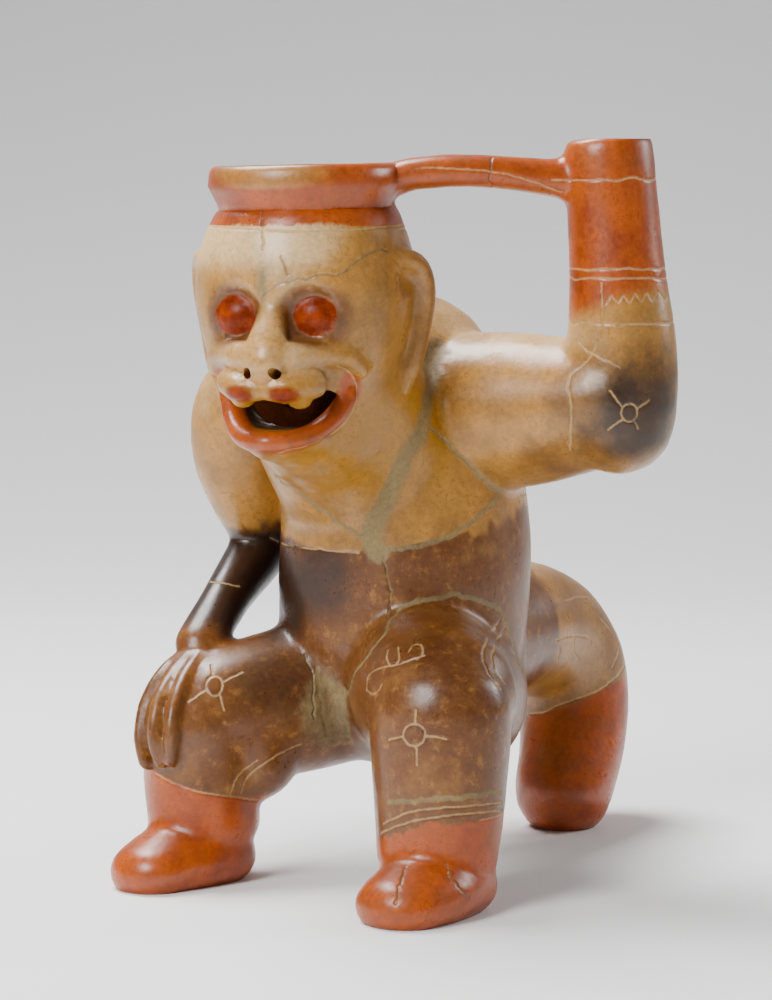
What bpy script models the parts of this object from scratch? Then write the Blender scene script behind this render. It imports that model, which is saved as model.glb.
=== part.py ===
"""Effigy vessel of burnished clay: a crouching figure with an animal's head, open at the crown and at a raised arm.

The figure faces -Y and stands on two feet and a tail. It is one piece of fired clay, hollow inside. A bar joins
the mouth of the vessel on the head to the raised forearm, which is a spout.

The figure's pose, proportions and carving are shares of its height, in hundredths: a station of a limb is
(x, y, z, half width, half depth) in hundredths of the height. Walls, rims, holes and flats are real sizes.
"""

import math

import bmesh
import bpy
from mathutils import Matrix, Vector

# Driving dimensions, in metres
HEIGHT = 0.340            # floor to the top of the spout
WALL = 0.0065             # fired wall of the body, the head and the limbs
CROWN_LIP_RADIUS = 0.0440     # outside of the mouth's lip on the head
CROWN_LIP_HEIGHT = 0.0098     # upright band of that lip
CROWN_NECK_RADIUS = 0.0400    # narrowest place under the lip
CROWN_NECK_HEIGHT = 0.0084    # from that place up to the lip's lower edge
CROWN_TOP = 0.3285        # height of the mouth's rim above the floor
CROWN_LEAN = math.radians(1.3)    # the mouth leans a little to the figure's right
SPOUT_TOP_RADIUS = 0.0200     # outside of the spout at its rim
RIM_ROUND = 0.0028        # rounding of both rims
BAR_HALF_HEIGHT = 0.0078  # of the bar between the crown and the spout
BAR_HALF_DEPTH = 0.0088
LIP_WALL = 0.0062         # thickness of the mouth's lip
SPOUT_WALL = 0.0052       # thickness of the spout at its rim
NOSTRIL_RADIUS = 0.0025
NOSTRIL_DEPTH = 0.014

CLAY_COLOUR = (0.55, 0.36, 0.22)
CLAY_ROUGHNESS = 0.4
SHARP_ANGLE = math.radians(45)

# How finely the clay is worked
SIDES = 28                # of each turned or drawn limb
SPAN_STEPS = 4            # rings between two stations
VOXEL = 0.0022            # grain at which the limbs are pressed into one body
FINE_VOXEL = 0.0016       # grain at which the features are pressed on
BODY_TRIANGLES = 6400     # outside, after thinning
CORE_TRIANGLES = 1500     # hollow inside

SHARE = HEIGHT / 100      # one hundredth of the height

# The head's own axis, and its turn towards the figure's left
HEAD_X, HEAD_Y = -5.0, -12.2
HEAD_TURN = math.radians(12.5)


def head_point(side, forward, up):
    """Hundredths in the head's frame (to its left, forwards, above the floor) as figure hundredths."""
    across = Vector((math.cos(HEAD_TURN), math.sin(HEAD_TURN)))
    ahead = Vector((math.sin(HEAD_TURN), -math.cos(HEAD_TURN)))
    spot = Vector((HEAD_X, HEAD_Y)) + side * across + forward * ahead
    return spot.x, spot.y, up


def head_station(side, forward, up, half_width, half_depth):
    return (*head_point(side, forward, up), half_width, half_depth)


# Stations of the figure, in hundredths of the height
TORSO = [
    (-2.2, 5.0, 20.6, 12.0, 12.0),
    (-2.2, 7.2, 27.0, 16.4, 15.8),
    (-2.3, 8.6, 36.0, 17.4, 17.0),
    (-2.4, 9.2, 45.0, 17.4, 17.2),
    (-2.7, 9.6, 54.0, 16.4, 16.6),
    (-3.1, 10.6, 61.0, 14.6, 15.0),
    (-3.4, 11.6, 66.0, 12.8, 13.2),
]
NECK = [
    (-3.6, 5.0, 50.0, 13.5, 11.5),
    (-4.4, -1.5, 60.0, 13.2, 12.0),
    (-5.0, -8.5, 69.0, 12.6, 12.0),
]
HEAD = [
    (-3.6, -10.6, 62.0, 9.6, 9.6),
    (-4.0, -10.8, 67.0, 11.4, 11.6),
    (-4.6, -11.8, 73.0, 13.7, 13.6),
    (-5.0, -12.2, 79.0, 14.8, 14.4),
    (-5.0, -12.2, 84.0, 14.5, 14.2),
    (-5.0, -12.2, 88.4, 13.2, 13.1),
]
RAISED_ARM = [
    (3.0, 10.8, 62.5, 11.0, 10.5),
    (10.0, 10.4, 63.0, 10.9, 10.0),
    (17.0, 10.0, 63.6, 10.4, 9.2),
    (24.0, 10.0, 64.4, 9.2, 8.8),
    (29.0, 10.0, 65.6, 8.4, 8.5),
]
ELBOW = [
    (30.2, 10.0, 62.8, 7.6, 7.3),
    (30.6, 10.0, 70.0, 7.6, 7.2),
    (30.2, 10.0, 78.0, 6.8, 6.8),
]
LOWERED_ARM = [
    (-17.0, 4.5, 68.5, 6.0, 7.0),
    (-22.2, 1.0, 64.0, 7.4, 7.2),
    (-24.4, 1.4, 57.5, 7.0, 7.0),
    (-24.6, 4.0, 50.5, 5.6, 5.8),
    (-25.0, 8.5, 44.5, 4.3, 4.5),
]
LOWERED_FOREARM = [
    (-25.4, 10.5, 43.6, 4.2, 4.4),
    (-24.8, 4.0, 40.6, 3.8, 4.2),
    (-23.8, -4.0, 36.2, 3.3, 3.6),
    (-22.6, -12.0, 31.4, 3.5, 3.0),
]
RIGHT_THIGH = [
    (-8.0, 5.0, 25.0, 9.5, 10.7),
    (-14.0, -4.0, 23.0, 9.4, 10.2),
    (-19.0, -12.4, 21.8, 8.4, 9.2),
]
RIGHT_SHIN = [
    (-20.6, -15.0, 20.0, 7.8, 7.4),
    (-20.2, -15.2, 12.0, 7.9, 7.5),
    (-19.4, -15.2, 6.0, 7.4, 7.6),
]
RIGHT_FOOT = [
    (-19.0, -14.6, 3.2, 6.9, 4.8),
    (-20.8, -20.4, 3.2, 6.9, 5.0),
    (-21.8, -25.2, 2.4, 5.9, 4.2),
]
LEFT_THIGH = [
    (0.5, 17.0, 24.5, 10.0, 10.5),
    (5.0, 7.0, 24.0, 11.6, 11.8),
    (9.0, -4.0, 27.0, 10.8, 11.0),
    (15.6, -11.6, 27.0, 10.2, 9.8),
]
LEFT_SHIN = [
    (16.8, -14.4, 26.0, 9.8, 8.8),
    (17.4, -15.4, 15.0, 8.9, 8.2),
    (17.4, -16.0, 6.0, 7.9, 7.6),
]
LEFT_FOOT = [
    (18.4, -15.4, 3.2, 7.2, 4.8),
    (18.4, -21.2, 3.2, 7.3, 5.0),
    (17.9, -26.0, 2.4, 6.6, 4.2),
]
TAIL = [
    (-2.6, 8.0, 28.6, 12.5, 13.5),
    (-2.0, 22.0, 30.0, 11.0, 13.0),
    (-0.8, 34.0, 30.2, 9.8, 11.4),
    (0.6, 43.4, 27.6, 9.4, 9.8),
    (2.2, 48.4, 21.6, 8.8, 8.8),
    (3.8, 47.4, 13.6, 8.0, 8.0),
    (5.2, 41.6, 5.0, 7.3, 7.1),
]

# Features of the head, in its own frame: (to its left, forwards, up, half width, half depth), in hundredths
JAW = [
    (0.0, 1.0, 62.4, 7.4, 5.4),
    (0.0, 8.0, 61.6, 6.0, 4.2),
    (0.0, 11.8, 61.0, 4.2, 2.9),
]
SNOUT = [
    (0.0, 3.0, 66.6, 8.6, 6.6),
    (0.0, 9.0, 67.0, 7.6, 6.3),
    (0.0, 13.0, 67.4, 6.0, 5.7),
    (0.0, 15.4, 67.8, 4.5, 4.4),
]
NOSE = [
    (0.0, 11.6, 80.0, 2.0, 1.6),
    (0.0, 13.4, 76.6, 2.2, 1.9),
    (0.0, 15.2, 73.4, 2.8, 2.3),
    (0.0, 16.0, 71.5, 3.1, 2.4),
]
CHEEK = [
    (0.0, 15.2, 72.0, 2.7, 2.0),
    (3.6, 14.2, 72.1, 2.0, 1.9),
    (6.4, 11.6, 72.2, 1.7, 1.7),
    (8.8, 9.2, 71.8, 1.6, 1.6),
    (10.1, 7.4, 70.2, 1.1, 1.3),
]
SNOUT_TOP = [
    (0.0, 4.0, 70.4, 9.6, 2.8),
    (0.0, 9.4, 70.4, 7.8, 2.7),
    (0.0, 13.0, 70.4, 6.2, 2.5),
]
LIP_PAD = [
    (0.9, 16.1, 67.8, 1.6, 1.5),
    (3.1, 15.4, 68.0, 2.3, 2.0),
    (5.6, 13.1, 68.5, 2.0, 1.9),
]
LOWER_LIP = [
    (0.0, 14.5, 60.9, 1.8, 1.4),
    (2.8, 13.3, 61.1, 1.8, 1.4),
    (5.0, 11.0, 62.0, 1.8, 1.4),
    (6.9, 8.6, 64.0, 1.7, 1.3),
    (8.2, 7.0, 66.8, 1.6, 1.2),
    (8.5, 7.0, 69.2, 1.3, 1.1),
]
EAR = [
    (12.4, 4.8, 83.8, 0.9, 0.9),
    (14.0, 1.6, 84.4, 1.3, 1.3),
    (15.1, -1.4, 83.2, 1.6, 1.5),
    (15.5, -2.8, 80.0, 1.6, 1.6),
    (15.0, -3.0, 75.5, 1.4, 1.5),
    (13.8, -2.4, 70.0, 1.3, 1.4),
    (11.6, -1.4, 65.0, 1.1, 1.1),
]
EYE = (5.1, 10.7, 77.1)
EYE_RADII = (3.2, 2.3, 2.8)
SOCKET = (5.1, 13.7, 77.6)
SOCKET_RADII = (4.5, 3.6, 4.2)
SOCKET_DEPTH = 2.1
EAR_HOLLOW = (14.2, 1.4, 81.4)
EAR_HOLLOW_RADII = (2.4, 2.4, 2.4)
EAR_HOLLOW_DEPTH = 0.8
TOOTH = (3.9, 13.4, 66.3)
TOOTH_RADII = (1.6, 1.3, 1.1)
MOUTH = [                 # outline of the opening, half of it: (to the side, up)
    (0.0, 62.3),
    (2.8, 62.4),
    (5.0, 63.1),
    (6.8, 64.6),
    (7.6, 66.6),
    (7.0, 67.6),
    (5.0, 67.2),
    (0.0, 67.2),
]
MOUTH_BACK = 6.0          # how far forward of the head's axis the opening starts
NOSTRIL = (1.9, 17.4, 70.0)

# Knee and hand of the figure's right side, in hundredths of the height
KNEE = (-21.0, -15.8, 20.9)
KNEE_RADII = (7.9, 7.8, 7.6)
CALF = (-15.5, -10.0, 17.0)
CALF_RADII = (7.0, 7.0, 7.0)
FINGERS = [
    [(-21.0, -12.5, 30.6, 1.4, 1.4), (-20.2, -18.4, 28.0, 1.3, 1.2), (-19.3, -22.6, 24.2, 1.3, 1.1),
     (-19.0, -23.8, 20.2, 1.3, 1.0), (-19.5, -23.2, 17.2, 1.1, 0.8)],
    [(-22.2, -12.5, 30.6, 1.4, 1.4), (-22.2, -18.2, 28.0, 1.3, 1.2), (-21.9, -22.4, 24.4, 1.4, 1.1),
     (-21.6, -23.8, 20.2, 1.4, 1.0), (-21.2, -23.4, 17.0, 1.1, 0.8)],
    [(-23.2, -12.5, 30.2, 1.5, 1.4), (-24.3, -17.4, 27.6, 1.6, 1.3), (-25.0, -20.4, 24.0, 1.8, 1.2),
     (-25.0, -21.8, 20.0, 1.8, 1.1), (-24.0, -22.6, 16.6, 1.5, 0.9)],
]


def clear_scene():
    for item in list(bpy.data.objects):
        bpy.data.objects.remove(item, do_unlink=True)


def collection(name):
    made = bpy.data.collections.new(name)
    bpy.context.scene.collection.children.link(made)
    return made


def between(a, b, c, d, t):
    """The smooth curve from b to c, with its neighbours a and d, at share t."""
    return 0.5 * (2 * b + (c - a) * t + (2 * a - 5 * b + 4 * c - d) * t**2
                  + (3 * b - a - 3 * c + d) * t**3)


def smoothed(stations):
    """The stations with rings added between them along a smooth curve."""
    rows = [stations[0], *stations, stations[-1]]
    rings = []
    for i in range(1, len(rows) - 2):
        for step in range(SPAN_STEPS):
            t = step / SPAN_STEPS
            rings.append([between(*(rows[i + k][n] for k in (-1, 0, 1, 2)), t) for n in range(5)])
    rings.append(list(stations[-1]))
    return rings


def ring_matrix(centre, tangent, reference, half_side, half_depth):
    """Places a unit circle: its X goes across, its Y in depth and its Z along the tangent."""
    side = reference.cross(tangent).normalized()
    depth = tangent.cross(side).normalized()
    turned = Matrix((side, depth, tangent)).transposed().to_4x4()
    sized = Matrix.Diagonal((half_side, half_depth, (half_side + half_depth) / 2, 1))
    return Matrix.Translation(centre) @ turned @ sized


def dome_rings(ring, tangent, bulge):
    """Rings that close a limb's end with a round cap."""
    matrices = []
    for angle in (25, 48, 68, 82):
        rise, width = math.sin(math.radians(angle)), math.cos(math.radians(angle))
        reach = Matrix.Translation(tangent * bulge * rise)
        matrices.append(reach @ ring @ Matrix.Diagonal((width, width, width, 1)))
    return matrices


def limb(shape, stations, reference=(0, 1, 0), thinner=0.0, domes=(1.0, 1.0)):
    """Adds a closed limb to the bmesh, drawn through the stations, its skin moved in by thinner metres."""
    rings = smoothed(stations)
    centres = [Vector(ring[:3]) * SHARE for ring in rings]
    reference = Vector(reference)
    halves = [[max(half * SHARE - thinner, 0.3 * half * SHARE) for half in ring[3:]] for ring in rings]
    matrices = []
    for i, centre in enumerate(centres):
        tangent = (centres[min(i + 1, len(centres) - 1)] - centres[max(i - 1, 0)]).normalized()
        matrices.append(ring_matrix(centre, tangent, reference, *halves[i]))
    start = (centres[0] - centres[1]).normalized()
    end = (centres[-1] - centres[-2]).normalized()
    if domes[0]:
        matrices = dome_rings(matrices[0], start, domes[0] * sum(halves[0]) / 2)[::-1] + matrices
    if domes[1]:
        matrices += dome_rings(matrices[-1], end, domes[1] * sum(halves[-1]) / 2)
    skin(shape, matrices)


def skin(shape, matrices):
    """Draws one circle through the placed rings and closes both ends."""
    ring = bmesh.ops.create_circle(shape, segments=SIDES, radius=1, matrix=matrices[0])["verts"]
    loop = list({edge for vert in ring for edge in vert.link_edges})
    shape.faces.new(ring)
    for before, after in zip(matrices, matrices[1:]):
        made = bmesh.ops.extrude_edge_only(shape, edges=loop)["geom"]
        ring = [item for item in made if isinstance(item, bmesh.types.BMVert)]
        loop = [item for item in made if isinstance(item, bmesh.types.BMEdge)]
        loop = [edge for edge in loop if all(vert in ring for vert in edge.verts)]
        bmesh.ops.transform(shape, matrix=after @ before.inverted(), verts=ring)
    bmesh.ops.contextual_create(shape, geom=loop)


def ball(shape, centre, radii, turn=0.0):
    """Adds an egg shape: its centre and radii are in hundredths of the height."""
    sized = Matrix.Diagonal((*(radius * SHARE for radius in radii), 1))
    placed = Matrix.Translation(Vector(centre) * SHARE) @ Matrix.Rotation(turn, 4, "Z") @ sized
    bmesh.ops.create_uvsphere(shape, u_segments=24, v_segments=16, radius=1, matrix=placed)


def crown_heights():
    """Heights of the lip's lower edge and of the narrowest place, in metres."""
    edge = CROWN_TOP - CROWN_LIP_HEIGHT
    return edge, edge - CROWN_NECK_HEIGHT


def collar_profile():
    """The shoulder that closes the head up to the narrow place, as (height, radius) in metres."""
    edge, neck = crown_heights()
    return [
        (84.0 * SHARE, 12.0 * SHARE),
        (88.0 * SHARE, 13.0 * SHARE),
        (neck - 0.25 * CROWN_NECK_HEIGHT, CROWN_NECK_RADIUS + 0.0016),
        (neck, CROWN_NECK_RADIUS - 0.003),
    ]


def crown_profile():
    """The neck and the lip above the collar, as (height, radius) in metres."""
    edge, neck = crown_heights()
    return [
        (neck - 0.004, CROWN_NECK_RADIUS - 0.004),
        (neck - 0.0015, CROWN_NECK_RADIUS - 0.0006),
        (neck + 0.15 * CROWN_NECK_HEIGHT, CROWN_NECK_RADIUS),
        (edge - 0.2 * CROWN_NECK_HEIGHT, CROWN_LIP_RADIUS - 0.0012),
        (edge + 0.1 * CROWN_LIP_HEIGHT, CROWN_LIP_RADIUS),
        (CROWN_TOP - RIM_ROUND, CROWN_LIP_RADIUS - 0.0008),
        (CROWN_TOP - 0.3 * RIM_ROUND, CROWN_LIP_RADIUS - 0.0008 - 0.4 * RIM_ROUND),
        (CROWN_TOP, CROWN_LIP_RADIUS - 0.0008 - RIM_ROUND),
    ]


def crown_bore():
    """The opening from the rim down into the head."""
    edge, neck = crown_heights()
    mouth = CROWN_LIP_RADIUS - LIP_WALL
    return [
        (86.0 * SHARE, CROWN_NECK_RADIUS - LIP_WALL - 0.001),
        (neck, CROWN_NECK_RADIUS - LIP_WALL),
        (edge, mouth),
        (CROWN_TOP - RIM_ROUND, mouth),
        (CROWN_TOP + 0.002, mouth + RIM_ROUND + 0.001),
    ]


def spout_bore(shape):
    """The opening from the spout's rim down to the hollow of the arm."""
    radius = (SPOUT_TOP_RADIUS - SPOUT_WALL) / SHARE
    rows = [(*spout_axis(z), z, radius, radius) for z in (86, 93, 99.2, 101.5)]
    rows[-1] = (*rows[-1][:3], radius * 1.4, radius * 1.4)
    limb(shape, rows, domes=(0, 0))


def core_limbs(shape):
    """The hollow inside, one wall thinner than the clay, up to the two necks."""
    body_limbs(shape, WALL)
    limb(shape, LOWERED_ARM[:3], thinner=WALL)
    head_limb(shape, SNOUT[:2], reference=(0, 0, 1), thinner=WALL, domes=(1, 0.2))
    edge, neck = crown_heights()
    collar = [(height - 0.003, radius - WALL) for height, radius in collar_profile()[:3]]
    turned(shape, collar, HEAD_X * SHARE, HEAD_Y * SHARE)


def turned(shape, profile, axis_x, axis_y):
    """Adds a closed turned form, from (height, radius) rings in metres."""
    edge, neck = crown_heights()
    lean = Matrix.Rotation(-CROWN_LEAN, 4, Vector((-0.5, 0.86, 0)))
    matrices = []
    for height, radius in profile:
        placed = Matrix.Translation((axis_x, axis_y, neck)) @ lean @ Matrix.Translation((0, 0, height - neck))
        matrices.append(placed @ Matrix.Diagonal((radius, radius, radius, 1)))
    skin(shape, matrices)


def spout_axis(z):
    """The spout's axis leans a little towards the head as it rises, in hundredths."""
    return 30.2 - 0.075 * (z - 78), 10.0 - 0.02 * (z - 78)


def spout_stations():
    top = 100.0
    radius, round_off = SPOUT_TOP_RADIUS / SHARE, RIM_ROUND / SHARE
    return [
        (*spout_axis(70), 70, 7.2, 7.2),
        (*spout_axis(80), 80, 6.6, 6.6),
        (*spout_axis(90), 90, 6.1, 6.1),
        (*spout_axis(top - 1.2), top - 1.2, radius, radius),
        (*spout_axis(top + 0.2), top + 0.2, radius - 0.6 * round_off, radius - 0.6 * round_off),
    ]


def bar_stations():
    high, deep = BAR_HALF_HEIGHT / SHARE, BAR_HALF_DEPTH / SHARE
    return [
        (3.5, -8.0, 93.8, high * 1.05, deep * 1.5),
        (8.0, -6.4, 95.4, high * 1.0, deep * 1.05),
        (14.0, -2.4, 95.8, high, deep),
        (20.0, 3.0, 95.2, high * 1.05, deep),
        (25.0, 7.6, 94.4, high * 1.3, deep * 1.15),
        (28.5, 9.6, 93.2, high * 1.6, deep * 1.3),
    ]


def head_limb(shape, stations, mirrored=False, **settings):
    """A limb given in the head's frame, and its mirror image on the other side."""
    for sign in (1, -1) if mirrored else (1,):
        rows = [head_station(sign * row[0], *row[1:]) for row in stations]
        limb(shape, rows, **settings)


def head_ball(shape, centre, radii):
    """A pair of egg shapes in the head's frame, one on each side."""
    for sign in (1, -1):
        ball(shape, head_point(sign * centre[0], *centre[1:]), radii, turn=HEAD_TURN)


def body_limbs(shape, thinner=0.0):
    """The limbs that are hollow, their skin moved in by thinner metres: the head's a little more."""
    limb(shape, TORSO, thinner=thinner, domes=(0.45 if thinner else 0.55, 1))
    limb(shape, NECK, thinner=thinner)
    limb(shape, HEAD, thinner=1.25 * thinner, domes=(0.9, 0))
    limb(shape, RAISED_ARM, thinner=thinner)
    limb(shape, ELBOW, thinner=thinner)
    limb(shape, spout_stations(), thinner=thinner, domes=(1, 0))
    for thigh in (RIGHT_THIGH, LEFT_THIGH):
        limb(shape, thigh, reference=(0, 0, 1), thinner=thinner)
    for shin in (RIGHT_SHIN, LEFT_SHIN):
        limb(shape, shin, thinner=thinner, domes=(0.9, 0.3))
    limb(shape, TAIL, reference=(1, 0, 0), thinner=thinner, domes=(1, 0.4 if thinner else 0.9))


def press_body(shape):
    """All the clay of the outside but the small features of the head and the hand, still overlapping."""
    body_limbs(shape)
    limb(shape, LOWERED_ARM)
    limb(shape, LOWERED_FOREARM, reference=(0, 0, 1))
    for foot in (RIGHT_FOOT, LEFT_FOOT):
        limb(shape, foot, reference=(0, 0, 1))
    ball(shape, KNEE, KNEE_RADII)
    ball(shape, CALF, CALF_RADII)
    head_limb(shape, SNOUT, reference=(0, 0, 1), domes=(1, 0.5))
    head_limb(shape, SNOUT_TOP, reference=(0, 0, 1), domes=(1, 0.5))
    head_limb(shape, JAW, reference=(0, 0, 1))
    turned(shape, collar_profile(), HEAD_X * SHARE, HEAD_Y * SHARE)
    limb(shape, bar_stations())


def press_features(shape):
    """The features laid on the body: nose, cheeks, lips, teeth, eyes, ears and fingers."""
    head_limb(shape, NOSE)
    head_limb(shape, CHEEK, mirrored=True, reference=(0, 0, 1))
    head_limb(shape, LIP_PAD, mirrored=True, reference=(0, 0, 1))
    head_limb(shape, LOWER_LIP, mirrored=True, reference=(0, 0, 1))
    head_limb(shape, EAR, mirrored=True)
    head_ball(shape, EYE, EYE_RADII)
    head_ball(shape, TOOTH, TOOTH_RADII)
    for finger in FINGERS:
        limb(shape, finger, reference=(1, 0, 0))


def dent(made, centre, radii, inwards, depth):
    """Pushes the skin in around a place: a smooth hollow of the given depth, in hundredths."""
    frame = Matrix.Rotation(HEAD_TURN, 4, "Z")
    placed = Matrix.Translation(Vector(centre) * SHARE) @ frame
    sized = placed @ Matrix.Diagonal((*(radius * SHARE for radius in radii), 1))
    back = sized.inverted()
    push = Vector(inwards).normalized() * depth * SHARE
    for vertex in made.data.vertices:
        away = (back @ vertex.co).length
        if away < 1:
            vertex.co += push * (1 - away**4) ** 2


def mouth_cutter(shape):
    """A bar with the outline of the mouth, through the front of the snout."""
    outline = MOUTH + [(-side, up) for side, up in MOUTH[-2:0:-1]]
    near = [shape.verts.new(Vector(head_point(side, MOUTH_BACK, up)) * SHARE) for side, up in outline]
    far = [shape.verts.new(Vector(head_point(side, 20.0, up)) * SHARE) for side, up in outline]
    shape.faces.new(near)
    shape.faces.new(far)
    for i in range(len(outline)):
        k = (i + 1) % len(outline)
        shape.faces.new((near[i], near[k], far[k], far[i]))


def nostril_cutters(shape):
    for sign in (1, -1):
        spot = Vector(head_point(sign * NOSTRIL[0], *NOSTRIL[1:])) * SHARE
        ahead = Vector(head_point(0, 1, 0)) - Vector(head_point(0, 0, 0))
        ahead = (ahead + Vector((0, 0, 0.15))).normalized()
        placed = Matrix.Translation(spot - ahead * 0.5 * NOSTRIL_DEPTH + ahead * 0.004)
        placed @= ahead.to_track_quat("Z", "Y").to_matrix().to_4x4()
        bmesh.ops.create_cone(shape, cap_ends=True, segments=10, radius1=NOSTRIL_RADIUS,
                              radius2=NOSTRIL_RADIUS, depth=NOSTRIL_DEPTH + 0.008, matrix=placed)


def mesh_object(name, shape, home):
    bmesh.ops.recalc_face_normals(shape, faces=shape.faces)
    mesh = bpy.data.meshes.new(name)
    shape.to_mesh(mesh)
    shape.free()
    made = bpy.data.objects.new(name, mesh)
    home.objects.link(made)
    return made


def settled(made):
    """The object's mesh with its modifiers worked in."""
    bpy.context.view_layer.update()
    seen = made.evaluated_get(bpy.context.evaluated_depsgraph_get())
    mesh = bpy.data.meshes.new_from_object(seen)
    made.modifiers.clear()
    made.data = mesh
    return made


def pressed(made, voxel, rounds):
    """Presses overlapping shells into one body and smooths the joins."""
    remesh = made.modifiers.new("press", "REMESH")
    remesh.mode = "VOXEL"
    remesh.voxel_size = voxel
    smooth = made.modifiers.new("smooth", "SMOOTH")
    smooth.factor = 0.5
    smooth.iterations = rounds
    return settled(made)


def thinned(made, triangles, keep=None):
    """Fewer, larger facets, about the given number of triangles, finer where keep says so."""
    now = sum(len(face.vertices) - 2 for face in made.data.polygons)
    fewer = made.modifiers.new("thin", "DECIMATE")
    fewer.ratio = triangles / now
    if keep:
        group = made.vertex_groups.new(name="keep")
        for vertex in made.data.vertices:
            group.add([vertex.index], 0.5 if keep(vertex.co) else 1.0, "REPLACE")
        fewer.vertex_group = "keep"
        fewer.vertex_group_factor = 0.00012
    return settled(made)


def on_face(spot):
    """Whether a place is on the face or the hand, whose form is small."""
    ahead = Vector(head_point(0, 1, 0)) - Vector(head_point(0, 0, 0))
    forward = (spot / SHARE - Vector(head_point(0, 0, 0))).dot(ahead)
    face = 57 < spot.z / SHARE < 83 and forward > 6
    hand = (spot / SHARE - Vector(KNEE)).length < 12 and spot.x / SHARE < -17 and spot.y / SHARE < -18
    return face or hand


def combined(made, other, operation):
    """Joins the other object on or cuts it out, and removes it."""
    step = made.modifiers.new(operation.lower(), "BOOLEAN")
    step.object = other
    step.operation = operation
    step.solver = "EXACT"
    settled(made)
    bpy.data.objects.remove(other, do_unlink=True)
    return made


def part_of(name, home, draw, *details):
    """A new object drawn by the given function."""
    shape = bmesh.new()
    draw(shape, *details)
    return mesh_object(name, shape, home)


def laid_on(made, home, draw):
    """Adds drawn shells to the body's mesh, to be pressed with it."""
    shape = bmesh.new()
    draw(shape)
    bmesh.ops.recalc_face_normals(shape, faces=shape.faces)
    shape.from_mesh(made.data)
    shape.to_mesh(made.data)
    shape.free()
    return made


def level_cutters(shape):
    """Blocks that flatten the undersides at the floor and the spout's rim at the full height."""
    for middle in (-0.5, HEIGHT + 0.5):
        bmesh.ops.create_cube(shape, size=1, matrix=Matrix.Translation((0, 0, middle)))


def centred(made):
    """Moves the vessel so that the middle of its box stands on the origin; returns the move."""
    spots = [vertex.co for vertex in made.data.vertices]
    low = [min(spot[axis] for spot in spots) for axis in range(3)]
    high = [max(spot[axis] for spot in spots) for axis in range(3)]
    move = Vector((-(low[0] + high[0]) / 2, -(low[1] + high[1]) / 2, -low[2]))
    made.data.transform(Matrix.Translation(move))
    return move


def clay():
    """Fired and burnished clay: matt body colour with a soft gloss."""
    material = bpy.data.materials.new("clay")
    material.diffuse_color = (*CLAY_COLOUR, 1.0)
    material.use_nodes = True
    shader = material.node_tree.nodes["Principled BSDF"]
    shader.inputs["Base Color"].default_value = (*CLAY_COLOUR, 1.0)
    shader.inputs["Roughness"].default_value = CLAY_ROUGHNESS
    shader.inputs["Metallic"].default_value = 0.0
    return material


def shaded(made):
    """Smooth shading, with the rims and the cut edges kept sharp."""
    for face in made.data.polygons:
        face.use_smooth = True
    made.data.set_sharp_from_angle(angle=SHARP_ANGLE)


def main():
    clear_scene()
    home = collection("effigy_vessel")
    body = pressed(part_of("effigy_vessel", home, press_body), VOXEL, 14)
    for sign in (1, -1):
        back = Vector(head_point(0, -1, 0)) - Vector(head_point(0, 0, 0))
        inward = Vector(head_point(-sign, 0, 0)) - Vector(head_point(0, 0, 0))
        dent(body, head_point(sign * SOCKET[0], *SOCKET[1:]), SOCKET_RADII, back, SOCKET_DEPTH)
        dent(body, head_point(sign * EAR_HOLLOW[0], *EAR_HOLLOW[1:]), EAR_HOLLOW_RADII, inward, EAR_HOLLOW_DEPTH)
    combined(body, part_of("mouth_cutter", home, mouth_cutter), "DIFFERENCE")
    laid_on(body, home, press_features)
    pressed(body, FINE_VOXEL, 3)
    thinned(body, BODY_TRIANGLES, on_face)
    combined(body, part_of("crown", home, turned, crown_profile(), HEAD_X * SHARE, HEAD_Y * SHARE), "UNION")
    core = pressed(part_of("core", home, core_limbs), VOXEL * 1.4, 6)
    combined(body, thinned(core, CORE_TRIANGLES), "DIFFERENCE")
    combined(body, part_of("crown_bore", home, turned, crown_bore(), HEAD_X * SHARE, HEAD_Y * SHARE), "DIFFERENCE")
    combined(body, part_of("spout_bore", home, spout_bore), "DIFFERENCE")
    combined(body, part_of("nostril_cutters", home, nostril_cutters), "DIFFERENCE")
    combined(body, part_of("level_cutters", home, level_cutters), "DIFFERENCE")
    body.data.materials.clear()
    body.data.materials.append(clay())
    shaded(body)
    return centred(body)


SHIFT = main()
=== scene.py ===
"""Effigy vessel of burnished clay: the hollowed body, its engraved lines, mended cracks and slip.

The figure faces -Y and stands on two feet and a tail. It is one piece of fired clay. Its stations are those
of the solid: (x, y, z, half width, half depth) in hundredths of the height. Lines and marks that can be seen
from the camera are laid on along its sight lines, given as places in a picture 772 wide and 1000 high.
"""

import math

import bmesh
import bpy
import numpy
from bpy.props import FloatProperty, FloatVectorProperty, IntProperty, PointerProperty
from mathutils import Matrix, Vector, noise
from mathutils.bvhtree import BVHTree
from mathutils.kdtree import KDTree


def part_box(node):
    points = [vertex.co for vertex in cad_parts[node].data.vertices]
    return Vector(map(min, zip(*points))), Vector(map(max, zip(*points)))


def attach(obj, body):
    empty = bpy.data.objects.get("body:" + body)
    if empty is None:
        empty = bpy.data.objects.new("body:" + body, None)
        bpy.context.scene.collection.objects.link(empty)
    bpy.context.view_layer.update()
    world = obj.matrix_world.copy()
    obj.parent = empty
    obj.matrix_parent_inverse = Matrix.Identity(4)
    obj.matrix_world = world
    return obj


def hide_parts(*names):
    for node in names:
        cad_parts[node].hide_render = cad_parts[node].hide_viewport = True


bl_info = {
    "name": "Effigy vessel",
    "version": (1, 0, 0),
    "blender": (4, 5, 0),
    "location": "3D View > Sidebar > Vessel",
    "description": "A hollow burnished clay vessel in the shape of a crouching figure with an animal's head",
    "category": "Object",
}

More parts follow.
